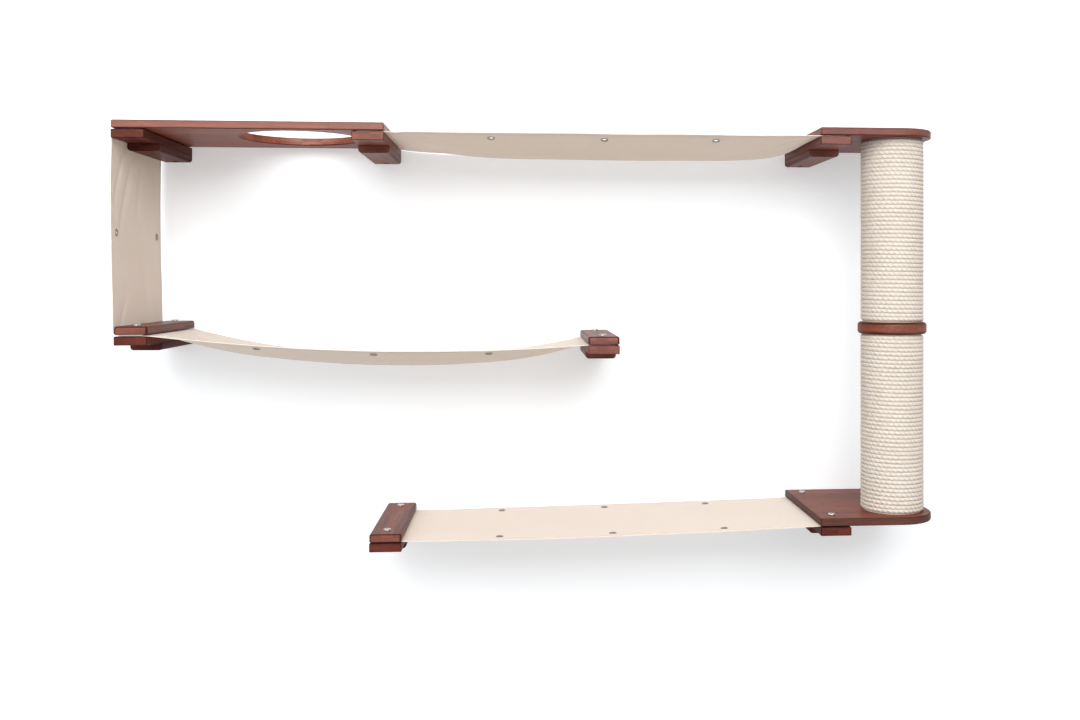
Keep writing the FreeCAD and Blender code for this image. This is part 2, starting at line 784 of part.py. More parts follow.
class Hanging:
    """A canvas between two brackets: straight in its clamps, with a trough and a sag between."""

    def __init__(self, left, right, front_sag, wall_sag, trough):
        start = bracket_origin(left)
        end = bracket_origin(right)
        half = size("bracket_width") / 2
        self.start = Vector(start.x + half, 0, start.z + CLOTH_GAP)
        self.end = Vector(end.x - half, 0, end.z + CLOTH_GAP)
        self.start_bolt = start.x
        self.end_bolt = end.x
        self.front_sag = front_sag
        self.wall_sag = wall_sag
        self.trough = trough

    def edge_heights(self, share):
        """Underside heights of the front and wall edges at a share of the span."""
        chord = self.start.z + (self.end.z - self.start.z) * share
        bow = 4 * share * (1 - share)
        return chord - self.front_sag * bow, chord - self.wall_sag * bow

    def depth(self, share):
        """Depth of the trough at mid width; it opens soon after each clamp."""
        return self.trough * (1 - (2 * share - 1) ** 4)

    def across(self, share):
        return self.start.x + (self.end.x - self.start.x) * share

    def section(self, share):
        """Closed section at a share of the span: two arcs, or two lines at the clamps."""
        x = self.across(share)
        front, wall = self.edge_heights(share)
        depth = self.depth(share)
        edges = []
        for lift in (0, CLOTH):
            first = Vector(x, FRONT_EDGE, front + lift)
            last = Vector(x, WALL_EDGE, wall + lift)
            if depth < 0.01:
                edges.append(Part.LineSegment(first, last).toShape())
            else:
                middle = (first + last) * 0.5 - Vector(0, 0, depth)
                edges.append(Part.Arc(first, middle, last).toShape())
        front_side = Part.LineSegment(Vector(x, FRONT_EDGE, front), Vector(x, FRONT_EDGE, front + CLOTH))
        wall_side = Part.LineSegment(Vector(x, WALL_EDGE, wall), Vector(x, WALL_EDGE, wall + CLOTH))
        return Part.Wire([edges[0], wall_side.toShape(), edges[1], front_side.toShape()])

    def strip(self, from_x, to_x, height):
        low = min(from_x, to_x)
        corner = Vector(low, FRONT_EDGE, height)
        return Part.makeBox(abs(to_x - from_x), CLOTH_WIDTH, CLOTH, corner)

    def solid(self, shares):
        past = size("cloth_past_bolt")
        sheet_solid = Part.makeLoft([self.section(share) for share in shares], True, False)
        start_strip = self.strip(self.start_bolt - past, self.start.x, self.start.z)
        end_strip = self.strip(self.end.x, self.end_bolt + past, self.end.z)
        return sheet_solid.fuse([start_strip, end_strip])

    def share_at(self, x):
        return (x - self.start.x) / (self.end.x - self.start.x)

    def surface(self, x, y):
        """Point and upward normal on the middle of the cloth."""
        share = self.share_at(x)
        step = 0.001
        here = self.height(share, y)
        along = (self.height(share + step, y) - here) / (step * (self.end.x - self.start.x))
        out = (self.height(share, y + step) - here) / step
        return Vector(x, y, here), Vector(-along, -out, 1).normalize()

    def height(self, share, y):
        """Height of the middle of the cloth, on the section's arc."""
        front, wall = self.edge_heights(share)
        depth = self.depth(share)
        first = Vector(0, FRONT_EDGE, front)
        last = Vector(0, WALL_EDGE, wall)
        if depth < 0.01:
            fraction = (y - FRONT_EDGE) / (WALL_EDGE - FRONT_EDGE)
            return front + (wall - front) * fraction + CLOTH / 2
        circle = Part.Arc(first, (first + last) * 0.5 - Vector(0, 0, depth), last).toShape().Curve
        centre = circle.Center
        return centre.z - math.sqrt(circle.Radius ** 2 - (y - centre.y) ** 2) + CLOTH / 2


def eyelet_rows():
    inset = size("eyelet_inset")
    return (FRONT_EDGE + inset, WALL_EDGE - inset)


def make_hanging(name, left, right, front_sag, wall_sag, trough):
    """The canvas and its eyelets, three along each edge about mid span."""
    cloth = Hanging(left, right, front_sag, wall_sag, trough)
    middle = (cloth.start.x + cloth.end.x) / 2
    columns = [middle + step * size("eyelet_pitch") for step in (-1, 0, 1)]
    near_clamp = 0.04
    shares = [0, near_clamp, 3 * near_clamp] + [cloth.share_at(x) for x in columns]
    shares += [(shares[3] + shares[4]) / 2, (shares[4] + shares[5]) / 2]
    shares += [1 - 3 * near_clamp, 1 - near_clamp, 1]
    solid = cloth.solid(sorted(shares))
    seats = [cloth.surface(x, y) for x in columns for y in eyelet_rows()]
    add_canvas(name, solid, bolt_holes(left) + bolt_holes(right), seats)


def add_canvas(name, solid, tools, seats):
    """Cut the holes, add the canvas and seat an eyelet in each eyelet hole."""
    radius = size("eyelet_hole_radius") + size("eyelet_wall") + size("eyelet_gap")
    reach = 10 * CLOTH
    for spot, normal in seats:
        tools.append(Part.makeCylinder(radius, 2 * reach, spot - normal * reach, normal))
    feature = doc.addObject("Part::Feature", "canvas_" + name)
    feature.Label = "canvas_" + name
    feature.Shape = cut_holes(solid, tools)
    turns = [Placement(spot, Rotation(Vector(0, 0, 1), normal)) for spot, normal in seats]
    group("eyelets_" + name, eyelet.Shape, turns)


def make_eyelet():
    """A metal eyelet as a ring with two flanges, one on each face of the canvas."""
    body = new_body("eyelet_master")
    hole = "eyelet_hole_radius"
    waist = "eyelet_hole_radius + eyelet_wall"
    seat = "(cloth_thick / 2 + eyelet_gap)"
    face = seat + " + eyelet_flange_thick"
    turn(body, [
        (hole, "-(" + face + ")"),
        ("eyelet_radius", "-(" + face + ")"),
        ("eyelet_radius", "-" + seat),
        (waist, "-" + seat),
        (waist, seat),
        ("eyelet_radius", seat),
        ("eyelet_radius", face),
        (hole, face),
    ])
    return body


def make_panel():
    """The side canvas: out of the top clamp, down past both brackets, into the lower clamp."""
    top = bracket_origin("hatch_left")
    low = bracket_origin("hammock_left")
    half = size("bracket_width") / 2
    past = size("cloth_past_bolt")
    edge_round = size("bar_round")
    layer = CLOTH + CLOTH_GAP
    # centres of the two bends, round the bar's upper edge and the plank's lower edge
    bend_top = Vector(top.x - half + edge_round, FRONT_EDGE, top.z - edge_round)
    bend_low = Vector(low.x - half + edge_round, FRONT_EDGE, low.z + CLOTH_GAP + 2 * layer + edge_round)
    bow = size("panel_bow")
    wires = []
    for offset in (edge_round + CLOTH_GAP, edge_round + CLOTH_GAP + CLOTH):
        start = Vector(top.x + past, FRONT_EDGE, bend_top.z + offset)
        over = bend_top + Vector(0, 0, offset)
        down = bend_top + Vector(-offset, 0, 0)
        arrive = bend_low + Vector(-offset, 0, 0)
        under = bend_low + Vector(0, 0, -offset)
        stop = Vector(low.x + past, FRONT_EDGE, bend_low.z - offset)
        corner = offset * math.sqrt(0.5)
        middle = (down + arrive) * 0.5 - Vector(bow, 0, 0)
        wires.append([
            Part.LineSegment(start, over).toShape(),
            Part.Arc(over, bend_top + Vector(-corner, 0, corner), down).toShape(),
            Part.Arc(down, middle, arrive).toShape(),
            Part.Arc(arrive, bend_low + Vector(-corner, 0, -corner), under).toShape(),
            Part.LineSegment(under, stop).toShape(),
        ])
    inner, outer = wires
    first_cap = Part.LineSegment(inner[0].Vertexes[0].Point, outer[0].Vertexes[0].Point).toShape()
    last_cap = Part.LineSegment(inner[-1].Vertexes[-1].Point, outer[-1].Vertexes[-1].Point).toShape()
    outline = Part.Wire(Part.__sortEdges__(inner + outer + [first_cap, last_cap]))
    solid = Part.Face(outline).extrude(Vector(0, CLOTH_WIDTH, 0))
    depth = edge_round + CLOTH_GAP + CLOTH / 2
    centre = (bend_top + bend_low) * 0.5 - Vector(bow + depth, 0, 0)
    normal = Vector(bend_top.z - bend_low.z, 0, bend_low.x - bend_top.x).normalize()
    seats = [(Vector(centre.x, y, centre.z), normal) for y in eyelet_rows()]
    add_canvas("panel", solid, bolt_holes("hatch_left") + bolt_holes("hammock_left"), seats)


eyelet = make_eyelet()
doc.recompute()
make_panel()
make_hanging("bridge", "hatch_right", "post_top", 0, size("bridge_wall_sag"), size("cloth_trough"))
make_hanging(
    "hammock", "hammock_left", "hammock_right",
    size("hammock_front_sag"), size("hammock_wall_sag"), size("cloth_trough"),
)
make_hanging(
    "shelf", "shelf_left", "post_bottom",
    size("shelf_front_sag"), size("shelf_wall_sag"), size("shelf_trough"),
)
doc.recompute()


# ---- check and write ----

masters = (insert.Name, eyelet.Name)
failed = []
pieces = []
for thing in doc.Objects:
    if "Invalid" in thing.State or "Error" in thing.State:
        failed.append(thing.Name + " is in error")
    is_body = thing.TypeId == "PartDesign::Body" and thing.Name not in masters
    if is_body or thing.TypeId == "Part::Feature":
        pieces.append(thing)
for piece in pieces:
    if piece.Shape.isNull() or not piece.Shape.isValid() or not piece.Shape.Solids:
        failed.append(piece.Label + " has no valid solid")
if failed:
    raise RuntimeError("; ".join(failed))
for piece in pieces:
    piece.Shape.exportStep("parts/" + piece.Label + ".step")
print("%d sub-parts written" % len(pieces))
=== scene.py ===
import math

import bpy
from mathutils import Euler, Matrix, Vector, geometry, noise


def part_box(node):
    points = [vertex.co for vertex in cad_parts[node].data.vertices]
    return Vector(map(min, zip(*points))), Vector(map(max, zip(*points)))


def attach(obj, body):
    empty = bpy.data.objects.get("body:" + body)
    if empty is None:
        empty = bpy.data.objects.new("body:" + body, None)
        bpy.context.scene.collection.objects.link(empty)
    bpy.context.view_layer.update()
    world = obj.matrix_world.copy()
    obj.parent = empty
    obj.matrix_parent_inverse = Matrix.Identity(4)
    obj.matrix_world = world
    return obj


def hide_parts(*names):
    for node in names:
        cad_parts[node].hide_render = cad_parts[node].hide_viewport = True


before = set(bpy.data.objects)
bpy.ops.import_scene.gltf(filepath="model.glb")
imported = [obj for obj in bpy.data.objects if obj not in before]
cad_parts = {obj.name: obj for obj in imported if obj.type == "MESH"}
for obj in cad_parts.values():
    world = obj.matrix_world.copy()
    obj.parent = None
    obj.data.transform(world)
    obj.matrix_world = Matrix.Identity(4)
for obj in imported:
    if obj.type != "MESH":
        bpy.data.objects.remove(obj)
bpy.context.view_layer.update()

mm = 0.001


# node trees: a Field is a node's socket that takes part in sums

def fill(node, inputs):
    for key, value in inputs.items():
        value = getattr(value, "socket", value)
        if isinstance(value, bpy.types.NodeSocket):
            node.id_data.links.new(value, node.inputs[key])
        else:
            node.inputs[key].default_value = value


def add(tree, kind, inputs=None, **settings):
    made = tree.nodes.new(kind)
    for key, value in settings.items():
        setattr(made, key, value)
    fill(made, inputs or {})
    return made


def field(tree, kind, inputs=None, output=0, **settings):
    return Field(add(tree, kind, inputs, **settings).outputs[output])


class Field:
    def __init__(self, socket):
        self.socket = socket
        self.tree = socket.id_data

    def calc(self, operation, *others):
        return field(self.tree, "ShaderNodeMath", dict(enumerate((self, *others))), operation=operation)

    def __add__(self, other):
        return self.calc("ADD", other)

    def __sub__(self, other):
        return self.calc("SUBTRACT", other)

    def __rsub__(self, other):
        return field(self.tree, "ShaderNodeMath", {0: other, 1: self}, operation="SUBTRACT")

    def __mul__(self, other):
        return self.calc("MULTIPLY", other)

    def __truediv__(self, other):
        return self.calc("DIVIDE", other)

    def remap(self, fromLow, fromHigh, toLow=0.0, toHigh=1.0):
        return field(self.tree, "ShaderNodeMapRange", {
            "Value": self, "From Min": fromLow, "From Max": fromHigh, "To Min": toLow, "To Max": toHigh,
        }, "Result")

    def vector(self, operation, inputs, output=0):
        return field(self.tree, "ShaderNodeVectorMath", {0: self, **inputs}, output, operation=operation)

    def split(self):
        return [Field(part) for part in add(self.tree, "ShaderNodeSeparateXYZ", {0: self}).outputs]


def combine(tree, *parts):
    return field(tree, "ShaderNodeCombineXYZ", dict(enumerate(parts)))


def blendTones(tree, share, first, second):
    first, second = (tone if isinstance(tone, Field) else (*tone, 1) for tone in (first, second))
    return field(tree, "ShaderNodeMix", {"Factor": share, 6: first, 7: second}, 2, data_type="RGBA")


def speckle(tree, place, scale, detail):
    return field(tree, "ShaderNodeTexNoise", {"Vector": place, "Scale": scale, "Detail": detail})


def streaks(tree, parts, stretch, detail):
    stretched = combine(tree, *(part * scale for part, scale in zip(parts, stretch)))
    return speckle(tree, stretched, 1.0, detail)


def newMaterial(name):
    material = bpy.data.materials.new(name)
    material.use_nodes = True
    tree = material.node_tree
    place = field(tree, "ShaderNodeTexCoord", output="Object")
    return material, tree, tree.nodes["Principled BSDF"], place


def emboss(shader, height, strength, distance):
    bump = {"Height": height, "Strength": strength, "Distance": distance}
    fill(shader, {"Normal": field(shader.id_data, "ShaderNodeBump", bump)})


# camera

photoView = {
    "place": (0.666, -2.2344, -0.2403),
    "turn": 4.5,  # degrees towards the post
    "lens": 37.48,
    "sensor": 36,
    "shiftX": -0.0662,
    "shiftY": -0.0746,
}


def makeCamera(view):
    lens = bpy.data.cameras.new("photoCamera")
    lens.sensor_width = view["sensor"]
    lens.lens = view["lens"]
    lens.shift_x = view["shiftX"]
    lens.shift_y = view["shiftY"]
    camera = bpy.data.objects.new("photoCamera", lens)
    camera.location = view["place"]
    camera.rotation_euler = Euler((math.radians(90), 0, -math.radians(view["turn"])))
    bpy.context.collection.objects.link(camera)
    bpy.context.scene.camera = camera


makeCamera(photoView)
print("camera set")


# wall, floor and light

studio = {
    "wallGap": 0.5 * mm,
    "wallLeft": -7.0, "wallRight": 8.5, "wallTop": 5.0,
    "floorHeight": -1.4, "floorDepth": 9.0,
    "paper": (0.895, 0.925, 0.95),
    "grain": 0.995, "grainScale": 40.0,
    "seenGain": 0.81,  # how much of its light the paper shows where it is seen directly
    "glow": 0.355,  # and what it adds there, which keeps the shadows pale
    "skyLight": 0.95, "sideLight": 0.36, "floorLight": 0.84,
}
lamps = {
    "softKey": {"place": (0.75, -3.2, 1.3), "aim": (0.7, 0.0, -0.35), "wide": 3.4, "tall": 1.8, "power": 120},
    "softFill": {"place": (-1.9, -2.4, 0.5), "aim": (0.5, 0.0, -0.3), "wide": 1.8, "tall": 1.8, "power": 26},
}


def makePaper():
    # white paper that keeps the shadow; its back lets the view through
    material, tree, shader = newMaterial("backdropPaper")[:3]
    tree.nodes.remove(shader)
    grain = field(tree, "ShaderNodeTexNoise", {"Scale": studio["grainScale"], "Detail": 2.0})
    tone = blendTones(tree, grain, studio["paper"], [studio["grain"] * part for part in studio["paper"]])
    path = add(tree, "ShaderNodeLightPath").outputs
    seen = Field(path["Is Camera Ray"])
    for kind in ("Is Glossy Ray", "Is Transmission Ray"):
        seen = seen.calc("MAXIMUM", path[kind])
    shown = tone.vector("SCALE", {"Scale": seen.remap(0, 1, 1.0, studio["seenGain"])})
    matte = field(tree, "ShaderNodeBsdfDiffuse", {"Color": shown})
    glow = field(tree, "ShaderNodeEmission", {"Color": (1, 1, 1, 1), "Strength": seen * studio["glow"]})
    front = field(tree, "ShaderNodeAddShader", {0: matte, 1: glow})
    back = field(tree, "ShaderNodeBsdfTransparent")
    side = field(tree, "ShaderNodeNewGeometry", output="Backfacing")
    both = field(tree, "ShaderNodeMixShader", {0: side, 1: front, 2: back})
    fill(tree.nodes["Material Output"], {"Surface": both})
    return material


def makeSheetOfPaper(name, corners, material):
    mesh = bpy.data.meshes.new(name)
    mesh.from_pydata(corners, [], [range(len(corners))])
    mesh.materials.append(material)
    paper = bpy.data.objects.new(name, mesh)
    bpy.context.collection.objects.link(paper)
    paper.visible_diffuse = False
    paper.visible_shadow = False


def makeLamp(name, place, aim, wide, tall, power):
    light = bpy.data.lights.new(name, "AREA")
    light.shape = "RECTANGLE"
    light.size = wide
    light.size_y = tall
    light.energy = power
    lamp = bpy.data.objects.new(name, light)
    lamp.location = place
    lamp.rotation_euler = (Vector(aim) - Vector(place)).to_track_quat("-Z", "Y").to_euler()
    bpy.context.collection.objects.link(lamp)


def makeStudio():
    paper = makePaper()
    left, right, top = studio["wallLeft"], studio["wallRight"], studio["wallTop"]
    low, near, gap = studio["floorHeight"], -studio["floorDepth"], studio["wallGap"]
    wall = [(left, gap, low), (right, gap, low), (right, gap, top), (left, gap, top)]
    floor = [(left, near, low), (right, near, low), (right, gap, low), (left, gap, low)]
    makeSheetOfPaper("wallPaper", wall, paper)
    makeSheetOfPaper("floorPaper", floor, paper)
    world = bpy.data.worlds.new("studioLight")
    bpy.context.scene.world = world
    world.use_nodes = True
    tree = world.node_tree
    # brighter overhead, with some light back from the floor, and white where it is seen directly
    up = field(tree, "ShaderNodeTexCoord", output="Generated").split()[2]
    above = up.remap(0, 1, studio["sideLight"], studio["skyLight"])
    below = up.remap(0, -1, 0, studio["floorLight"] - studio["sideLight"])
    behind = field(tree, "ShaderNodeLightPath", output="Is Camera Ray")
    strength = (above + below) * (1.0 - behind) + behind
    fill(tree.nodes["Background"], {"Strength": strength, "Color": (1, 1, 1, 1)})
    for name, settings in lamps.items():
        makeLamp(name, **settings)
    bpy.context.scene.view_settings.view_transform = "Standard"


makeStudio()
print("wall, floor and light set")


# stained wood: laminated strips with fibres along the grain, with painted shade where the edges are rounded

stain = {
    "deep": (0.054, 0.012, 0.011),
    "warm": (0.30, 0.088, 0.049),
    # the edge tone is painted shade along the rounded edges
    "edge": (0.040, 0.008, 0.007),
    "edgeShadeReach": 4.0 * mm,
    "edgeShadeRange": (0.995, 0.88),
    "edgeShadeShare": 0.85,
    "uprightShadeRange": (0.3, 0.7),  # a face counts as upright below the first, and as level above the second
    "frontRange": (0.7, 0.95),
    "stripWidth": 19.5 * mm,
    "plyThick": 7.0 * mm,
    "fibreStretch": (14, 620, 620),
    "poreStretch": (45, 1900, 1900),
    "poreRange": (0.56, 0.68),
    "poreShade": 0.24,
    "knuckleSpacing": 0.31,
    "knuckleHalf": 0.009,
    "knuckleShade": 0.35,
    "cloudScale": 11.0,
    "warmthOf": {"fibres": 0.62, "strip": 0.2, "cloud": 0.34},
    "warmRange": (0.28, 0.88),
    "roughness": 0.34,
    "roughnessOf": {"cloud": 0.14, "pores": 0.12},
    "shine": 0.06,
    "frontShine": 0.40,  # the end faces are polished more
    "shineTone": (1.0, 0.84, 0.77, 1.0),
    "lacquer": 0.03,
    "lacquerRoughness": 0.2,
    "bump": 0.25,
    "relief": 0.12 * mm,
}
# the grain's direction, tone and gloss beside the full ones, and the tone that upright faces keep; tints and
# upright shares away from 1 are painted highlight, reflection and shade
stains = {
    "AlongWall": {"grain": "X", "tint": (1, 1, 1), "gloss": 1.0, "upright": 1.0},
    # the hatch board's lighter tint is a painted highlight
    "HighlitHatch": {"grain": "X", "tint": (1.22, 1.22, 1.22), "gloss": 1.6, "upright": 1.0},
    # the bluish tints are a painted reflection, a bluish sheen put in the base colour
    "BlueSheenAlongWall": {"grain": "X", "tint": (1.0, 1.12, 1.5), "gloss": 1.0, "upright": 1.0},
    "ShadedUprights": {"grain": "X", "tint": (1, 1, 1), "gloss": 1.0, "upright": 0.42},
    # the lower post board's upright faces get painted shade
    "Across": {"grain": "Y", "tint": (1, 1, 1), "gloss": 1.0, "upright": 1.0},
    "BlueSheenAcross": {"grain": "Y", "tint": (1.0, 1.12, 1.5), "gloss": 1.0, "upright": 1.0},
    # a darker copy of the stain: painted shade on the brackets that sit in shade
    "ShadedBracket": {"grain": "Y", "tint": (0.58, 0.46, 0.5), "gloss": 0.4, "upright": 1.0},
}


def stainWood(name, grain, tint, gloss, upright):
    material, tree, shader, place = newMaterial(name)
    x, y, up = place.split()
    along, across = (y, x) if grain == "Y" else (x, y)
    # offsets keep every strip and ply on the same side of zero
    strip = ((across + 1.0) / stain["stripWidth"]).calc("FLOOR")
    ply = ((up + 2.0) / stain["plyThick"]).calc("FLOOR")
    board = {"Vector": combine(tree, strip, ply)}
    chance = field(tree, "ShaderNodeTexWhiteNoise", board, noise_dimensions="3D")
    fibres = streaks(tree, (along, across, up), stain["fibreStretch"], 5.0)
    pores = streaks(tree, (along, across, up), stain["poreStretch"], 2.0).remap(*stain["poreRange"])
    cloud = speckle(tree, place, stain["cloudScale"], 3.0)
    ring = (along / stain["knuckleSpacing"] + chance).calc("FRACT")
    knuckle = (ring - 0.5).calc("ABSOLUTE").remap(0.0, stain["knuckleHalf"], 1.0, 0.0)

    parts = stain["warmthOf"]
    warmth = fibres * parts["fibres"] + chance * parts["strip"] + cloud * parts["cloud"]
    tone = blendTones(tree, warmth.remap(*stain["warmRange"]), stain["deep"], stain["warm"])
    tone = blendTones(tree, pores * stain["poreShade"], tone, stain["deep"])
    tone = blendTones(tree, knuckle * stain["knuckleShade"], tone, stain["deep"])
    # painted shade: the tone darkens along the rounded edges
    outward = field(tree, "ShaderNodeNewGeometry", output="Normal")
    rounded = field(tree, "ShaderNodeBevel", {"Radius": stain["edgeShadeReach"]}, samples=6)
    turned = outward.vector("DOT_PRODUCT", {1: rounded}, "Value")
    facing = [part.calc("ABSOLUTE") for part in outward.split()]
    if grain == "Y":
        level = facing[0].calc("MAXIMUM", facing[1])
    else:
        level = (1.0001 - facing[2] * facing[2]).calc("SQRT")
    level = level.calc("MAXIMUM", facing[2])
    edge = turned.remap(*stain["edgeShadeRange"]).calc("MAXIMUM", level.remap(*stain["edgeShadeRange"]))
    tone = blendTones(tree, edge * stain["edgeShadeShare"], tone, stain["edge"])
    # painted shade: upright faces keep only the upright share of the tone
    tone = tone.vector("SCALE", {"Scale": facing[2].remap(*stain["uprightShadeRange"], upright, 1.0)})
    parts = stain["roughnessOf"]
    polish = facing[1].remap(*stain["frontRange"], gloss * stain["shine"], gloss * stain["frontShine"])
    fill(shader, {
        "Base Color": tone.vector("MULTIPLY", {1: tint}),
        "Roughness": cloud * parts["cloud"] + pores * parts["pores"] + stain["roughness"],
        "Specular IOR Level": polish,
        "Specular Tint": stain["shineTone"],
        "Coat Weight": gloss * stain["lacquer"],
        "Coat Roughness": stain["lacquerRoughness"],
    })
    emboss(shader, fibres * 0.5 - pores * 0.5, stain["bump"], stain["relief"])
    return material


# canvas: plain weave with slubs, on the cloth's own flat measure in metres

weave = {
    "light": (0.815, 0.702, 0.615),
    "shade": (0.700, 0.588, 0.502),
    "threadPitch": 0.95 * mm,
    "crossing": 0.2,  # how soon one thread gives way to the other
    "slubStretch": (45, 900),
    "cloudScale": 7.0,
    # the height's share is painted shade in the hollows between threads
    "shadeOf": {"slubs": 0.42, "cloud": 0.3, "height": 0.22},
    "shadeRange": (0.15, 0.75),
    "roughness": 0.88,
    "sheen": 0.15,
    "glowThrough": 0.4,
    "glowReach": (3.0 * mm, 2.6 * mm, 2.2 * mm),
    "bump": 0.5,
    "depth": 0.16 * mm,
}


def softenSurface(shader, tone, settings):
    fill(shader, {
        "Base Color": tone, "Roughness": settings["roughness"], "Sheen Weight": settings["sheen"],
        "Subsurface Weight": settings["glowThrough"], "Subsurface Radius": settings["glowReach"],
        "Subsurface Scale": 1.0,
    })


def weaveCanvas(name):
    material, tree, shader, place = newMaterial(name)
    spot = field(tree, "ShaderNodeUVMap", uv_map="flatCut").split()[:2]
    waves = [(part * (math.pi / weave["threadPitch"])).calc("SINE") for part in spot]
    ridges = [wave.calc("ABSOLUTE") for wave in waves]
    # over and under: the sign of the two sines together
    over = (waves[0] * waves[1]).remap(-weave["crossing"], weave["crossing"])
    height = over * ridges[0] + (1.0 - over) * ridges[1]
    stretch = weave["slubStretch"]
    slubs = streaks(tree, spot, stretch, 3.0) + streaks(tree, spot, stretch[::-1], 3.0)
    cloud = speckle(tree, place, weave["cloudScale"], 3.0)
    parts = weave["shadeOf"]
    # the lower parts of the weave take the shade tone, a painted shade
    share = slubs * parts["slubs"] + cloud * parts["cloud"] - height * parts["height"]
    tone = blendTones(tree, share.remap(*weave["shadeRange"]), weave["light"], weave["shade"])
    softenSurface(shader, tone, weave)
    emboss(shader, height + slubs * 0.5, weave["bump"], weave["depth"])
    return material


# sewing thread, sisal, metal and the plain materials inside the post

thread = {
    "light": (0.70, 0.60, 0.50), "shade": (0.52, 0.43, 0.35), "twist": 0.5 * mm, "roughness": 0.7,
    "bump": 0.3, "depth": 0.05 * mm,
}
sisal = {
    "pale": (0.75, 0.685, 0.62), "straw": (0.57, 0.49, 0.405), "roughness": 0.8, "sheen": 0.15,
    "glowThrough": 0.25, "glowReach": (1.6 * mm, 1.3 * mm, 1.0 * mm),
    "fineStretch": (9, 9, 90), "coarseStretch": (1.2, 1.2, 14), "cloudScale": 16.0,
    "strawOf": {"fine": 0.6, "coarse": 0.35, "cloud": 0.25}, "strawRange": (0.42, 0.95),
    "bump": 0.6, "depth": 0.3 * mm,
}
metals = {
    "brightSteel": {"tone": (0.60, 0.59, 0.57), "dull": (0.36, 0.35, 0.34), "roughness": 0.16},
    "darkNickel": {"tone": (0.30, 0.27, 0.24), "dull": (0.12, 0.10, 0.08), "roughness": 0.20},
    "dullBrass": {"tone": (0.72, 0.53, 0.24), "dull": (0.52, 0.36, 0.15), "roughness": 0.24},
}
metalMarks = {
    "fineScale": 1500.0, "cloudScale": 180.0, "dullShare": 0.6, "roughShare": 0.2,
    "bump": 0.15, "depth": 0.03 * mm,
}
plainStuff = {
    "cardTube": {"tone": (0.42, 0.30, 0.19), "dull": (0.33, 0.23, 0.14), "stretch": (60, 60, 900)},
    "plainWood": {"tone": (0.62, 0.45, 0.27), "dull": (0.47, 0.31, 0.17), "stretch": (25, 500, 500)},
    # the pale tone of the layer under the rope is painted light that keeps the crevices between its turns
    # pale
    "paleCreviceUnderlay": {"tone": (0.78, 0.68, 0.54), "dull": (0.60, 0.50, 0.38), "stretch": (250, 250, 900)},
}
plainLook = {"range": (0.35, 0.7), "roughness": 0.8, "bump": 0.3, "depth": 0.1 * mm}


def twistThread(name):
    material, tree, shader, place = newMaterial(name)
    plies = field(tree, "ShaderNodeTexWave", {
        "Vector": place, "Scale": 0.5 / thread["twist"], "Distortion": 1.5, "Detail": 1.0,
    }, 1, bands_direction="DIAGONAL")
    tone = blendTones(tree, plies, thread["shade"], thread["light"])
    fill(shader, {"Base Color": tone, "Roughness": thread["roughness"]})
    emboss(shader, plies, thread["bump"], thread["depth"])
    return material


def layFibres(name):
    material, tree, shader, place = newMaterial(name)
    # round the rope, and metres along it
    around, along = field(tree, "ShaderNodeUVMap", uv_map="ropeLay").split()[:2]
    turn = around * (2 * math.pi)
    spot = (turn.calc("SINE"), turn.calc("COSINE"), along)
    fine = streaks(tree, spot, sisal["fineStretch"], 4.0)
    coarse = streaks(tree, spot, sisal["coarseStretch"], 2.0)
    cloud = speckle(tree, place, sisal["cloudScale"], 2.0)
    parts = sisal["strawOf"]
    share = fine * parts["fine"] + coarse * parts["coarse"] + cloud * parts["cloud"]
    tone = blendTones(tree, share.remap(*sisal["strawRange"]), sisal["pale"], sisal["straw"])
    softenSurface(shader, tone, sisal)
    emboss(shader, fine, sisal["bump"], sisal["depth"])
    return material


def turnMetal(name, tone, dull, roughness):
    material, tree, shader, place = newMaterial(name)
    marks = speckle(tree, place, metalMarks["fineScale"], 3.0)
    cloud = speckle(tree, place, metalMarks["cloudScale"], 2.0)
    tone = blendTones(tree, cloud * metalMarks["dullShare"], tone, dull)
    rough = marks * metalMarks["roughShare"] + roughness
    fill(shader, {"Base Color": tone, "Metallic": 1.0, "Roughness": rough})
    emboss(shader, marks, metalMarks["bump"], metalMarks["depth"])
    return material


def leavePlain(name, tone, dull, stretch):
    material, tree, shader, place = newMaterial(name)
    stretched = field(tree, "ShaderNodeMapping", {"Vector": place, "Scale": stretch})
    fibres = speckle(tree, stretched, 1.0, 4.0)
    tone = blendTones(tree, fibres.remap(*plainLook["range"]), tone, dull)
    fill(shader, {"Base Color": tone, "Roughness": plainLook["roughness"]})
    emboss(shader, fibres, plainLook["bump"], plainLook["depth"])
    return material


woods = {kind: stainWood("stainedWood" + kind, **settings) for kind, settings in stains.items()}
canvasWeave = weaveCanvas("canvasWeave")
sewingThread = twistThread("sewingThread")
sisalFibre = layFibres("sisalFibre")
metal = {kind: turnMetal(kind, **settings) for kind, settings in metals.items()}
plain = {kind: leavePlain(kind, **settings) for kind, settings in plainStuff.items()}
print("materials made")


# the CAD's own wood and metal, where a later line overrules an earlier one

finishes = [
    ("post_disc", woods["AlongWall"]), ("hatch_board", woods["HighlitHatch"]),
    ("upper_post_board", woods["BlueSheenAlongWall"]), ("lower_post_board", woods["ShadedUprights"]),
    ("bar_", woods["Across"]), ("foot_", woods["Across"]), ("plank_", woods["Across"]),
    ("bolt_", metal["brightSteel"]), ("post_bolt", metal["brightSteel"]), ("post_stud", metal["brightSteel"]),
    ("inserts_", metal["dullBrass"]), ("core_", plain["cardTube"]), ("plug_", plain["plainWood"]),
]
# some brackets get a darker copy of the stain as painted shade, and some a bluish tint as a painted
# reflection
for bracket in ("hatch_left", "hammock_left", "shelf_left", "post_bottom"):
    finishes += [("bar_" + bracket, woods["ShadedBracket"]), ("foot_" + bracket, woods["ShadedBracket"])]
for node in ("bar_post_top", "bar_hammock_right", "plank_hammock_right"):
    finishes.append((node, woods["BlueSheenAcross"]))


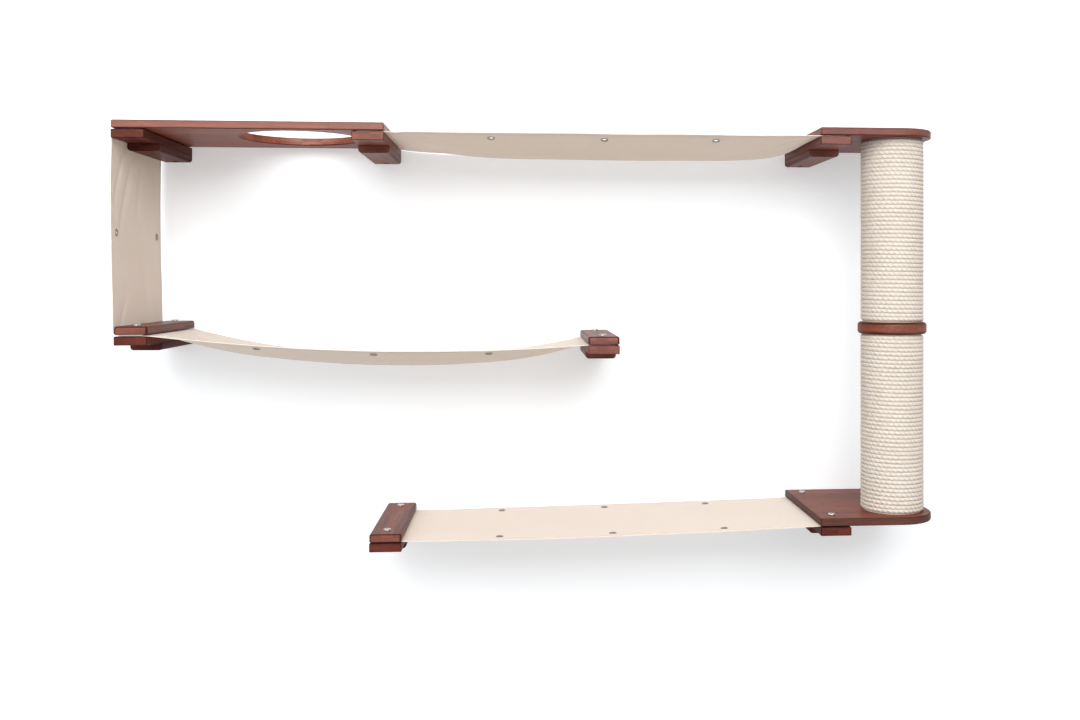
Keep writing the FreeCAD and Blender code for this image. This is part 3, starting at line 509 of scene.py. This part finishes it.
def finishFrame():
    for name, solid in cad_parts.items():
        for start, material in finishes:
            if name.startswith(start):
                for slot in solid.material_slots:
                    slot.material = material


finishFrame()
print("wood and metal finished")


# building helpers: a piece at the origin, and a Geometry Nodes tree made into its mesh

def newPiece(name, mesh):
    piece = bpy.data.objects.new(name, mesh)
    bpy.context.collection.objects.link(piece)
    return piece


def startTree(name, **kinds):
    tree = bpy.data.node_groups.new(name, "GeometryNodeTree")
    for label, kind in {"Geometry": "Geometry", **kinds, "material": "Material"}.items():
        tree.interface.new_socket(label, in_out="INPUT", socket_type="NodeSocket" + kind)
    tree.interface.new_socket("Geometry", in_out="OUTPUT", socket_type="NodeSocketGeometry")
    return tree, {socket.name: Field(socket) for socket in add(tree, "NodeGroupInput").outputs}


def endTree(tree, shape, material):
    plainMesh = field(tree, "GeometryNodeRealizeInstances", {"Geometry": shape})
    smooth = field(tree, "GeometryNodeSetShadeSmooth", {"Geometry": plainMesh})
    painted = field(tree, "GeometryNodeSetMaterial", {"Geometry": smooth, "Material": material})
    add(tree, "NodeGroupOutput", {"Geometry": painted})
    return tree


def circle(tree, points, radius):
    return field(tree, "GeometryNodeCurvePrimitiveCircle", {"Resolution": points, "Radius": radius})


def sweep(tree, path, section, caps=True):
    parts = {"Curve": path, "Profile Curve": section, "Fill Caps": caps}
    return field(tree, "GeometryNodeCurveToMesh", parts)


def growPiece(name, tree, base, values):
    # the modifier's inputs go in by identifier before anything is evaluated
    piece = newPiece(name, base)
    modifier = piece.modifiers.new(tree.name, "NODES")
    modifier.node_group = tree
    for socket in tree.interface.items_tree:
        if socket.in_out == "INPUT" and socket.name != "Geometry":
            modifier[socket.identifier] = values[socket.name]
    depsgraph = bpy.context.evaluated_depsgraph_get()
    grown = bpy.data.meshes.new_from_object(
        piece.evaluated_get(depsgraph), preserve_all_data_layers=True, depsgraph=depsgraph,
    )
    piece.modifiers.clear()
    piece.data = grown
    grown.name = name
    return piece


def pointMesh(name, points, edges, directions):
    mesh = bpy.data.meshes.new(name)
    mesh.from_pydata(points, edges, [])
    store = mesh.attributes.new("outward", "FLOAT_VECTOR", "POINT")
    store.data.foreach_set("vector", [part for direction in directions for part in direction])
    return mesh


# post: two windings of three strand rope

winding = {
    "pitch": 7.55 * mm,
    "ropeWidth": 9.8 * mm,  # pressed together, so wider than the pitch
    "layLength": 27.0 * mm,
    "creviceDepth": 0.36,
    "stepsPerTurn": 112,
    "pointsRound": 12,
    "endGap": 0.4 * mm,
    "wander": 0.55 * mm,
    "wanderScale": 34.0,
    "seed": 7,
    "outerRadius": 57.0 * mm,
    "sleeveInside": 44.6 * mm,
    "sleeveOutside": 52.4 * mm,
    "sleeveEndGap": 0.3 * mm,
    "sleeveSteps": 96,
    "sharpAngle": 40,
}


def capture(tree, shape, value, label):
    kept = add(tree, "GeometryNodeCaptureAttribute", {"Geometry": shape})
    kept.capture_items.new("FLOAT", label)
    fill(kept, {label: value})
    return Field(kept.outputs[0]), Field(kept.outputs[label])


def ropeTree():
    tree, sizes = startTree(
        "windRope", windingRadius="Float", turns="Float", pitch="Float", ropeWidth="Float",
        layLength="Float", creviceDepth="Float", stepsPerTurn="Int", pointsRound="Int",
        wander="Float", wanderScale="Float", centre="Vector", seed="Int",
    )
    pitch, turns = sizes["pitch"], sizes["turns"]
    helix = field(tree, "GeometryNodeCurveSpiral", {
        "Resolution": sizes["stepsPerTurn"], "Rotations": turns, "Height": pitch * turns, "Reverse": False,
        "Start Radius": sizes["windingRadius"], "End Radius": sizes["windingRadius"],
    })
    place = field(tree, "GeometryNodeInputPosition")
    drift = field(tree, "ShaderNodeTexNoise", {
        "Vector": place, "W": sizes["seed"], "Scale": sizes["wanderScale"], "Detail": 2.0,
    }, 1, noise_dimensions="4D")
    offset = drift.vector("SUBTRACT", {1: (0.5, 0.5, 0.5)}).vector("SCALE", {"Scale": sizes["wander"]})
    # the first and the last turn come in level against what holds them
    x, y, z = place.split()
    turn = z / pitch
    first = turn.calc("MINIMUM", 1.0)
    last = (turn - (turns - 1.0)).calc("MAXIMUM", 0.0)
    level = (turn - first + (first * first - last * last) * 0.5) * pitch
    wandering = field(tree, "GeometryNodeSetPosition", {
        "Geometry": helix, "Position": combine(tree, x, y, level), "Offset": offset,
    })
    upright = field(tree, "GeometryNodeSetCurveNormal", {"Curve": wandering}, mode="Z_UP")
    length = field(tree, "GeometryNodeSplineParameter", output="Length")
    twist = length / sizes["layLength"] * (2 * math.pi)
    twisted = field(tree, "GeometryNodeSetCurveTilt", {"Curve": upright, "Tilt": twist})
    path, along = capture(tree, twisted, length, "Along")

    # three lobes with a crease between each two
    ring = circle(tree, sizes["pointsRound"], sizes["ropeWidth"] / 2.0)
    share = field(tree, "GeometryNodeSplineParameter", output="Factor")
    bulge = (share * (3 * math.pi)).calc("COSINE").calc("ABSOLUTE")
    drawn = place.vector("SCALE", {"Scale": 1.0 - (1.0 - bulge) * sizes["creviceDepth"]})
    lobes = field(tree, "GeometryNodeSetPosition", {"Geometry": ring, "Position": drawn})
    section, around = capture(tree, lobes, share, "Round")

    rope = sweep(tree, path, section)
    mapped = field(tree, "GeometryNodeStoreNamedAttribute", {
        "Geometry": rope, "Name": "ropeLay", "Value": combine(tree, around, along),
    }, data_type="FLOAT2", domain="CORNER")
    turned = field(tree, "GeometryNodeTransform", {
        "Geometry": mapped, "Translation": sizes["centre"], "Rotation": (0, 0, math.radians(90)),
    })
    return endTree(tree, turned, sizes["material"])


def windPost(tree, name, centre, base, top):
    width = winding["ropeWidth"]
    rise = top - base - 2 * winding["endGap"] - width
    turns = round(rise / winding["pitch"]) + 1
    print(name, "has", turns, "turns")
    return growPiece(name, tree, bpy.data.meshes.new(name), {
        **winding, "windingRadius": winding["outerRadius"] - width / 2, "turns": float(turns),
        "pitch": rise / (turns - 1), "centre": (centre.x, centre.y, base + winding["endGap"] + width / 2),
        "material": sisalFibre,
    })


def makeSleeve(name, centre, base, top):
    # the layer that the rope is wound on, a closed tube
    steps = winding["sleeveSteps"]
    inside, outside = winding["sleeveInside"], winding["sleeveOutside"]
    points, faces = [], []
    for ring, (radius, height) in enumerate([(inside, base), (outside, base), (outside, top), (inside, top)]):
        start, following = ring * steps, (ring + 1) % 4 * steps
        for step in range(steps):
            angle = 2 * math.pi * step / steps
            points.append((centre.x + radius * math.cos(angle), centre.y + radius * math.sin(angle), height))
            beside = (step + 1) % steps
            faces.append((start + step, start + beside, following + beside, following + step))
    mesh = bpy.data.meshes.new(name)
    mesh.from_pydata(points, [], faces)
    # its pale tone is painted light in the crevices between the rope's turns
    mesh.materials.append(plain["paleCreviceUnderlay"])
    mesh.shade_smooth()
    mesh.set_sharp_from_angle(angle=math.radians(winding["sharpAngle"]))
    return newPiece(name, mesh)


# stray fibres that stand off the rope

fuzz = {
    "perSquareMetre": 9000.0, "length": 6.0 * mm, "width": 0.13 * mm, "curl": 1.6 * mm, "seed": 11,
    "leanLow": (0.0, -0.5, 0.0), "leanHigh": (0.0, 0.1, 6.283),  # tilt off the rope and spin about it
}


def fuzzTree():
    tree, sizes = startTree(
        "raiseFibres", perSquareMetre="Float", length="Float", width="Float", curl="Float",
        leanLow="Vector", leanHigh="Vector", seed="Int",
    )
    roots = add(tree, "GeometryNodeDistributePointsOnFaces", {
        "Mesh": sizes["Geometry"], "Density": sizes["perSquareMetre"], "Seed": sizes["seed"],
    }, distribute_method="RANDOM").outputs
    strand = field(tree, "GeometryNodeCurveQuadraticBezier", {
        "Resolution": 3, "Start": (0, 0, 0), "End": combine(tree, sizes["length"]),
        "Middle": combine(tree, sizes["length"] * 0.5, 0.0, sizes["curl"]),
    })
    fibre = sweep(tree, strand, circle(tree, 3, sizes["width"] / 2.0))
    lean = field(tree, "FunctionNodeRandomValue", {
        "Min": sizes["leanLow"], "Max": sizes["leanHigh"], "Seed": sizes["seed"],
    }, data_type="FLOAT_VECTOR")
    turned = field(tree, "FunctionNodeRotateRotation", {
        "Rotation": roots["Rotation"], "Rotate By": field(tree, "FunctionNodeEulerToRotation", {0: lean}),
    }, rotation_space="LOCAL")
    fibres = field(tree, "GeometryNodeInstanceOnPoints", {
        "Points": roots["Points"], "Instance": fibre, "Rotation": turned,
    })
    return endTree(tree, fibres, sizes["material"])


def makePost():
    ropes, fibres = ropeTree(), fuzzTree()
    centre = sum(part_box("core_upper"), Vector()) / 2
    discLow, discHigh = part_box("post_disc")
    gap = winding["sleeveEndGap"]
    for half, base, top in (
        ("Upper", discHigh.z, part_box("upper_post_board")[0].z),
        ("Lower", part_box("lower_post_board")[1].z, discLow.z),
    ):
        rope = windPost(ropes, "ropeWinding" + half, centre, base, top)
        sleeve = makeSleeve("ropeSleeve" + half, centre, base + gap, top - gap)
        stray = growPiece("ropeFibres" + half, fibres, rope.data.copy(), {**fuzz, "material": sisalFibre})
        print(stray.name, "has", len(stray.data.polygons), "faces")
        for piece, slot in ((stray, "sisal_rope"), (rope, "sisal_rope"), (sleeve, "core_tube")):
            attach(piece, "root")
        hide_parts("rope_" + half.lower())


makePost()
print("post wound")


# canvases: flat cuts with their holes, laid on the surface that each one hangs in

canvas = {
    "thick": 1.2 * mm,
    "single": 0.8 * mm,
    "clampGap": 0.3 * mm,
    "clampHalf": 27.5 * mm,
    "frontEdge": -270 * mm,
    "wallEdge": -8 * mm,
    "pastBolt": 20 * mm,
    "hem": 11 * mm,
    "hemSlope": 1 * mm,  # over which the hem's second layer ends
    "hemRows": (0.0, 4 * mm, 8 * mm),
    "step": 5 * mm,
    "slopeStep": 0.2 * mm,
    "boltHole": 3.3 * mm,
    "boltRows": (-32 * mm, -247 * mm),
    "eyeletHole": 5.25 * mm,
    "eyeletPitch": 200 * mm,
    "eyeletInset": 25 * mm,
    "ringPoints": 28,
    "ringWide": 1.2 * mm,
    "ringClear": 1.6 * mm,
    "holeShare": 0.97,  # a triangle whose middle is nearer than this is in the hole
    "mergeWithin": 1e-7,
    "sharpAngle": 50,
    "troughPower": 1.2,
    "waviness": 0.7 * mm,
    "ripples": (9, 13),
    "fade": 45 * mm,  # ripples and folds fade towards the clamps
    "unsewn": 1 * mm,
    "measureSteps": 60,
}
clothWidth = canvas["wallEdge"] - canvas["frontEdge"]


def bracketSeat(name):
    low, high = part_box("bar_" + name)
    return (low.x + high.x) / 2, high.z


def clamp(value):
    return min(max(value, 0.0), 1.0)


def smoothStep(value):
    value = clamp(value)
    return value * value * (3 - 2 * value)


def creaseLift(across, along, creases):
    # soft folds: each runs from one point of the flat cut to another, in mm, and a little past both
    lift, past = 0.0, 0.2
    spot = Vector((along / mm, across / mm))
    for first, last, height, width in creases:
        start, end = Vector(first), Vector(last)
        run = end - start
        share = (spot - start).dot(run) / run.length_squared
        if -past < share < 1 + past:
            nearest = start + run * clamp(share)
            reach = math.sin(math.pi * clamp((share + past) / (1 + 2 * past)))
            lift += height * mm * reach * math.exp(-((spot - nearest).length / width) ** 2)
    return lift


class Cloth:
    # a flat cut held in two clamps, with its bolts, middle, hangStart and hangEnd measured along it
    def holes(self):
        bolts = [(bolt, row - canvas["frontEdge"]) for bolt in self.bolts for row in canvas["boltRows"]]
        spots = [(*spot, canvas["boltHole"]) for spot in bolts]
        return spots + [(*spot, canvas["eyeletHole"]) for spot in self.eyeletSpots()]

    def eyeletSpots(self):
        inset = canvas["eyeletInset"]
        columns = [self.middle + step * canvas["eyeletPitch"] for step in self.eyeletSteps]
        return [(along, across) for along in columns for across in (inset, clothWidth - inset)]

    def sewnSpan(self):
        return self.hangStart + canvas["unsewn"], self.hangEnd - canvas["unsewn"]

    def lift(self, clear, spot, along, across):
        if clear <= 0:
            return 0.0
        ripple = noise.noise(Vector((*spot, self.settings["seed"]))) * canvas["waviness"]
        folds = creaseLift(across, along, self.settings["creases"])
        return smoothStep(clear) * ripple + smoothStep(clear * 2) * folds


class HangingCloth(Cloth):
    # between two brackets: flat in both clamps, with a sag and a trough between them
    eyeletSteps = (-1, 0, 1)

    def __init__(self, settings):
        leftX, leftTop = bracketSeat(settings["left"])
        rightX, rightTop = bracketSeat(settings["right"])
        rise = canvas["clampGap"] + canvas["thick"] / 2
        self.startX, self.endX = leftX + canvas["clampHalf"], rightX - canvas["clampHalf"]
        self.startZ, self.endZ = leftTop + rise, rightTop + rise
        self.settings = settings
        self.first = leftX - canvas["pastBolt"]
        self.length = rightX + canvas["pastBolt"] - self.first
        self.bolts = leftX - self.first, rightX - self.first
        self.middle = (self.startX + self.endX) / 2 - self.first
        self.hangStart, self.hangEnd = self.startX - self.first, self.endX - self.first

    def opening(self, share, steeper=1):
        power = self.settings["fullness"][0 if share < 0.5 else 1]
        return 1 - abs(2 * share - 1) ** (power * steeper)

    def height(self, x, across):
        settings = self.settings
        if x <= self.startX:
            return self.startZ
        if x >= self.endX:
            return self.endZ
        share = (x - self.startX) / (self.endX - self.startX)
        bow = 4 * share * (1 - share)
        chord = self.startZ + (self.endZ - self.startZ) * share
        front = chord - settings["frontSag"] * mm * bow
        wall = chord - settings["wallSag"] * mm * bow - settings["wallDrop"] * mm * self.opening(share, 3)
        depth = settings["trough"] * mm * self.opening(share)
        straight = front + (wall - front) * across
        return straight - depth * math.sin(math.pi * clamp(across)) ** canvas["troughPower"]

    def place(self, along, across):
        x = self.first + along
        # the trough takes up width, so the cloth is a little wider in its clamps
        share = clamp((x - self.startX) / (self.endX - self.startX))
        spread = self.settings["spread"] * mm * (1 - self.opening(share) ** 2)
        y = canvas["frontEdge"] - spread + across * (1 + 2 * spread / clothWidth)
        clear = min(x - self.startX, self.endX - x) / canvas["fade"]
        overX, overY = canvas["ripples"]
        lift = self.lift(clear, (x * overX, y * overY), along, across)
        return Vector((x, y, self.height(x, across / clothWidth) + lift))


class PanelCloth(Cloth):
    # out of the top clamp, over the bar's edge, down past both brackets and into the lower clamp
    eyeletSteps = (0,)

    def __init__(self, settings):
        topX, topZ = bracketSeat(settings["top"])
        lowX, lowZ = bracketSeat(settings["low"])
        layer = canvas["thick"] + canvas["clampGap"]
        edgeRound = settings["edgeRound"] * mm
        middle = edgeRound + canvas["clampGap"] + canvas["thick"] / 2
        inward = edgeRound - canvas["clampHalf"]
        bendTop = Vector((topX + inward, topZ - edgeRound))
        bendLow = Vector((lowX + inward, lowZ + canvas["clampGap"] + 2 * layer + edgeRound))
        bendSteps, fallSteps = settings["bendSteps"], settings["fallSteps"]

        def bend(centre, start):
            angles = [math.radians(start + 90 * step / bendSteps) for step in range(bendSteps + 1)]
            return [centre + middle * Vector((math.cos(angle), math.sin(angle))) for angle in angles]

        route = [Vector((topX + canvas["pastBolt"], bendTop.y + middle)), *bend(bendTop, 90)]
        down, arrive = route[-1], bendLow + Vector((-middle, 0))
        for step in range(1, fallSteps):
            share = step / fallSteps
            bow = settings["bow"] * mm * 4 * share * (1 - share)
            route.append(down.lerp(arrive, share) - Vector((bow, 0)))
        route += [*bend(bendLow, 180), Vector((lowX + canvas["pastBolt"], bendLow.y - middle))]
        self.route = route
        self.reach = [0.0]
        for here, there in zip(route, route[1:]):
            self.reach.append(self.reach[-1] + (there - here).length)
        self.length = self.reach[-1]
        self.hangStart, self.hangEnd = self.reach[bendSteps + 1], self.reach[bendSteps + 1 + fallSteps]
        self.bolts = canvas["pastBolt"], self.length - canvas["pastBolt"]
        self.middle = (self.hangStart + self.hangEnd) / 2
        self.settings = settings

    def at(self, along):
        along = min(max(along, 0.0), self.length)
        index = 0
        while self.reach[index + 1] < along and index < len(self.route) - 2:
            index += 1
        here, there = self.route[index], self.route[index + 1]
        share = (along - self.reach[index]) / (self.reach[index + 1] - self.reach[index])
        return here.lerp(there, share)

    def place(self, along, across):
        settings = self.settings
        spot = self.at(along)
        # the lower end comes nearly flush with the front of its clamp
        arrived = smoothStep(1 - (self.hangEnd - along) / (settings["flushOver"] * mm))
        y = canvas["frontEdge"] + across - settings["lowFlush"] * mm * arrived
        clear = min(along - self.hangStart, self.hangEnd - along) / (settings["fade"] * mm)
        overY, overAlong = settings["ripples"]
        lift = self.lift(clear, (y * overY, along * overAlong), along, across)
        return Vector((spot.x - lift, y, spot.y))


def outwardAt(cloth, along, across):
    step = canvas["slopeStep"]
    alongWay = (cloth.place(along + step, across) - cloth.place(along - step, across)).normalized()
    acrossWay = (cloth.place(along, across + step) - cloth.place(along, across - step)).normalized()
    return alongWay.cross(acrossWay).normalized()


def flatPattern(cloth):
    # points of the flat cut: a grid that follows the hems, with a ring round each hole
    length, hem, half = cloth.length, canvas["hem"], canvas["hemSlope"] / 2
    count = round(length / canvas["step"])
    alongs = [length * step / count for step in range(count + 1)]
    edgeRows = [*canvas["hemRows"], hem - half, hem + half, hem + canvas["step"]]
    inner = clothWidth - 2 * edgeRows[-1]
    innerCount = round(inner / canvas["step"])
    rows = edgeRows + [edgeRows[-1] + inner * step / innerCount for step in range(1, innerCount)]
    rows += [clothWidth - row for row in reversed(edgeRows)]
    holes = cloth.holes()

    def isClear(along, across, share, margin):
        return all(math.hypot(along - x, across - y) > share * radius + margin for x, y, radius in holes)

    spots = [(along, across) for along in alongs for across in rows]
    points = [Vector(spot) for spot in spots if isClear(*spot, 1.0, canvas["ringClear"])]
    loops = []
    ring = canvas["ringPoints"]
    for x, y, radius in holes:
        start = len(points)
        loops += [(start + step, start + (step + 1) % ring) for step in range(ring)]
        for ringRadius in (radius, radius + canvas["ringWide"]):
            for step in range(ring):
                angle = 2 * math.pi * step / ring
                points.append(Vector((x + ringRadius * math.cos(angle), y + ringRadius * math.sin(angle))))
    found = geometry.delaunay_2d_cdt(points, loops, [], 0, canvas["mergeWithin"])
    spots = found[0]
    kept = []
    for triangle in found[2]:
        middle = sum((spots[corner] for corner in triangle), Vector((0, 0))) / 3
        if isClear(*middle, canvas["holeShare"], 0.0):
            kept.append(tuple(triangle))
    return spots, kept


def sewCloth(name, cloth):
    spots, triangles = flatPattern(cloth)
    count = len(spots)
    thick, single, slope = canvas["thick"], canvas["single"], canvas["hemSlope"]
    upper, lower = [], []
    for spot in spots:
        middle = cloth.place(*spot)
        outward = outwardAt(cloth, *spot)
        fromEdge = min(spot.y, clothWidth - spot.y)
        folded = 1 - smoothStep((fromEdge - canvas["hem"] + slope / 2) / slope)
        upper.append(middle + outward * thick / 2)
        lower.append(middle - outward * (single - thick / 2 + (thick - single) * folded))
    faces = triangles + [tuple(count + corner for corner in reversed(triangle)) for triangle in triangles]
    # sides close the cloth along every edge that only one triangle uses
    used = {}
    for triangle in triangles:
        for edge in zip(triangle, triangle[1:] + triangle[:1]):
            used[edge] = True
    for first, last in used:
        if (last, first) not in used:
            faces.append((last, first, count + first, count + last))
    mesh = bpy.data.meshes.new(name)
    mesh.from_pydata(upper + lower, [], faces)
    flat = mesh.uv_layers.new(name="flatCut")
    for loop in mesh.loops:
        flat.data[loop.index].uv = spots[loop.vertex_index % count]
    mesh.materials.append(canvasWeave)
    mesh.validate()
    mesh.shade_smooth()
    mesh.set_sharp_from_angle(angle=math.radians(canvas["sharpAngle"]))
    return newPiece(name, mesh)


# stitches along the hems

stitching = {
    "fromEdge": 8.2 * mm, "lineStep": 6 * mm,
    "pitch": 4.0 * mm, "length": 3.0 * mm, "threadWidth": 0.55 * mm, "lift": 0.25 * mm,
}


def outwardOf(tree):
    named = {"Name": "outward"}
    return field(tree, "GeometryNodeInputNamedAttribute", named, "Attribute", data_type="FLOAT_VECTOR")


def stitchTree():
    tree, sizes = startTree("sewStitches", pitch="Float", length="Float", threadWidth="Float", lift="Float")
    line = field(tree, "GeometryNodeMeshToCurve", {"Mesh": sizes["Geometry"]})
    spacing = {"Curve": line, "Length": sizes["pitch"]}
    spaced = field(tree, "GeometryNodeResampleCurve", spacing, mode="LENGTH")
    turn = field(tree, "FunctionNodeAxesToRotation", {
        "Primary Axis": outwardOf(tree), "Secondary Axis": field(tree, "GeometryNodeInputTangent"),
    }, primary_axis="Z", secondary_axis="X")
    half = sizes["length"] / 2.0
    arch = field(tree, "GeometryNodeCurveQuadraticBezier", {
        "Resolution": 4, "Start": combine(tree, half * -1.0),
        "Middle": combine(tree, 0.0, 0.0, sizes["lift"]), "End": combine(tree, half),
    })
    stitch = sweep(tree, arch, circle(tree, 5, sizes["threadWidth"] / 2.0))
    row = field(tree, "GeometryNodeInstanceOnPoints", {
        "Points": spaced, "Instance": stitch, "Rotation": turn,
    })
    return endTree(tree, row, sizes["material"])


def sewHems(name, cloth, tree):
    points, edges, directions = [], [], []
    start, end = cloth.sewnSpan()
    count = round((end - start) / stitching["lineStep"])
    for across in (stitching["fromEdge"], clothWidth - stitching["fromEdge"]):
        for side in (1, -1):
            first = len(points)
            for step in range(count + 1):
                along = start + (end - start) * step / count
                outward = outwardAt(cloth, along, across) * side
                points.append(cloth.place(along, across) + outward * canvas["thick"] / 2)
                directions.append(outward)
            edges += [(first + step, first + step + 1) for step in range(count)]
    lines = pointMesh(name + "Lines", points, edges, directions)
    return growPiece(name, tree, lines, {**stitching, "material": sewingThread})


# eyelets: two rolled lips on a short barrel

eyelet = {
    "holeRadius": 4.5 * mm, "rimRadius": 7.0 * mm,
    "lipHalf": 0.6 * mm, "lipRise": 0.95 * mm, "barrel": 0.3 * mm,
}


def eyeletTree():
    tree, sizes = startTree(
        "setEyelets", holeRadius="Float", rimRadius="Float", lipHalf="Float", lipRise="Float", barrel="Float",
    )
    hole, rim, rise = sizes["holeRadius"], sizes["rimRadius"], sizes["lipRise"]

    def ring(radius, halfWide, halfTall, height):
        section = field(tree, "GeometryNodeTransform", {
            "Geometry": circle(tree, 14, 1.0), "Scale": combine(tree, halfWide, halfTall, 1.0),
        })
        swept = sweep(tree, circle(tree, 32, radius), section, caps=False)
        lifted = {"Geometry": swept, "Translation": combine(tree, 0.0, 0.0, height)}
        return field(tree, "GeometryNodeTransform", lifted)

    middle, halfWide = (hole + rim) / 2.0, (rim - hole) / 2.0
    rings = add(tree, "GeometryNodeJoinGeometry")
    for shape in (
        ring(middle, halfWide, sizes["lipHalf"], rise),
        ring(middle, halfWide, sizes["lipHalf"], rise * -1.0),
        ring(hole + sizes["barrel"], sizes["barrel"], rise, 0.0),
    ):
        fill(rings, {0: shape})
    turn = field(tree, "FunctionNodeAlignRotationToVector", {"Vector": outwardOf(tree)}, axis="Z")
    seats = field(tree, "GeometryNodeInstanceOnPoints", {
        "Points": sizes["Geometry"], "Instance": rings.outputs[0], "Rotation": turn,
    })
    return endTree(tree, seats, sizes["material"])


def setEyelets(name, cloth, tree):
    spots = cloth.eyeletSpots()
    directions = [outwardAt(cloth, *spot) for spot in spots]
    seats = pointMesh(name + "Seats", [cloth.place(*spot) for spot in spots], [], directions)
    return growPiece(name, tree, seats, {**eyelet, "material": metal["darkNickel"]})


# each canvas with its own sag, in mm, and its own folds on the flat cut: from, to, height, width

hangings = {
    "bridge": {
        "left": "hatch_right", "right": "post_top",
        "frontSag": 0, "wallSag": 3, "wallDrop": 6, "trough": 26, "fullness": (3.4, 9), "spread": 4,
        "seed": 1.0,
        "creases": [
            ((52, -6), (110, 55), -3.2, 10), ((66, 16), (220, 84), 2.4, 9),
            ((50, 20), (150, 90), 2.2, 9), ((52, 60), (210, 150), 1.6, 12), ((50, 225), (170, 170), 1.8, 10),
            ((808, 25), (700, 95), 1.8, 10), ((808, 228), (690, 170), 1.6, 11),
        ],
        "restsOn": ["bar_hatch_right", "bar_post_top"],
    },
    "hammock": {
        "left": "hammock_left", "right": "hammock_right",
        "frontSag": 18, "wallSag": 44, "wallDrop": 0, "trough": 21, "fullness": (6, 6), "spread": 4,
        "seed": 2.0,
        "creases": [
            ((50, 12), (190, 70), 3.0, 9), ((50, 30), (240, 120), 2.0, 12), ((50, 235), (200, 180), 2.0, 11),
            ((790, 14), (660, 80), 2.4, 10), ((792, 236), (650, 175), 2.0, 12),
        ],
        "restsOn": ["bar_hammock_left", "bar_hammock_right"],
    },
    "shelf": {
        "left": "shelf_left", "right": "post_bottom",
        "frontSag": 5, "wallSag": 1, "wallDrop": 0, "trough": 2, "fullness": (4, 4), "spread": 0,
        "seed": 3.0,
        "creases": [
            ((48, 20), (130, 60), 0.8, 10), ((778, 24), (690, 70), 0.8, 10), ((48, 236), (140, 200), 0.7, 10),
        ],
        "restsOn": ["bar_shelf_left", "bar_post_bottom"],
    },
}
panelHanging = {
    "top": "hatch_left", "low": "hammock_left", "edgeRound": 1.5, "bow": 4, "lowFlush": 7, "flushOver": 90,
    "bendSteps": 8, "fallSteps": 61, "fade": 40, "ripples": (12, 8), "seed": 4.0,
    "creases": [
        ((56, 70), (170, 18), 4.2, 8), ((56, 120), (215, 45), 3.4, 10), ((60, 165), (190, 130), 2.6, 9),
        ((60, 205), (150, 240), 2.4, 8), ((330, 70), (390, 30), 1.6, 9), ((250, 150), (380, 190), 1.4, 14),
    ],
    "restsOn": ["bar_hatch_left", "bar_hammock_left"],
}


def measureCloth(cloth):
    # the cut's size: the mean of runs measured along and across the hanging surface
    def run(spots):
        points = [cloth.place(*spot) for spot in spots]
        return sum((there - here).length for here, there in zip(points, points[1:]))

    length, steps = cloth.length, canvas["measureSteps"]
    marks = range(steps + 1)
    lengths = [run([(length * step / steps, clothWidth * row / 4) for step in marks]) for row in range(5)]
    widths = [run([(length * row / 6, clothWidth * step / steps) for step in marks]) for row in range(1, 6)]
    return sum(widths) / len(widths), sum(lengths) / len(lengths)


def hangCanvas(name, cloth, stitches, eyelets):
    sheet = sewCloth("canvas" + name.capitalize(), cloth)
    sewing = sewHems("hemStitches" + name.capitalize(), cloth, stitches)
    rings = setEyelets("eyeletRings" + name.capitalize(), cloth, eyelets)
    for piece, slot in ((sheet, "canvas"), (sewing, "canvas"), (rings, "steel")):
        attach(piece, "root")
    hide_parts("canvas_" + name)
    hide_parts("eyelets_" + name)
    flat = measureCloth(cloth)
    print("canvas", name, "cut %.0f by %.0f mm" % (flat[0] / mm, flat[1] / mm))


def hangAll():
    stitches, eyelets = stitchTree(), eyeletTree()
    for name, settings in hangings.items():
        hangCanvas(name, HangingCloth(settings), stitches, eyelets)
    hangCanvas("panel", PanelCloth(panelHanging), stitches, eyelets)


hangAll()
print("canvases hung")
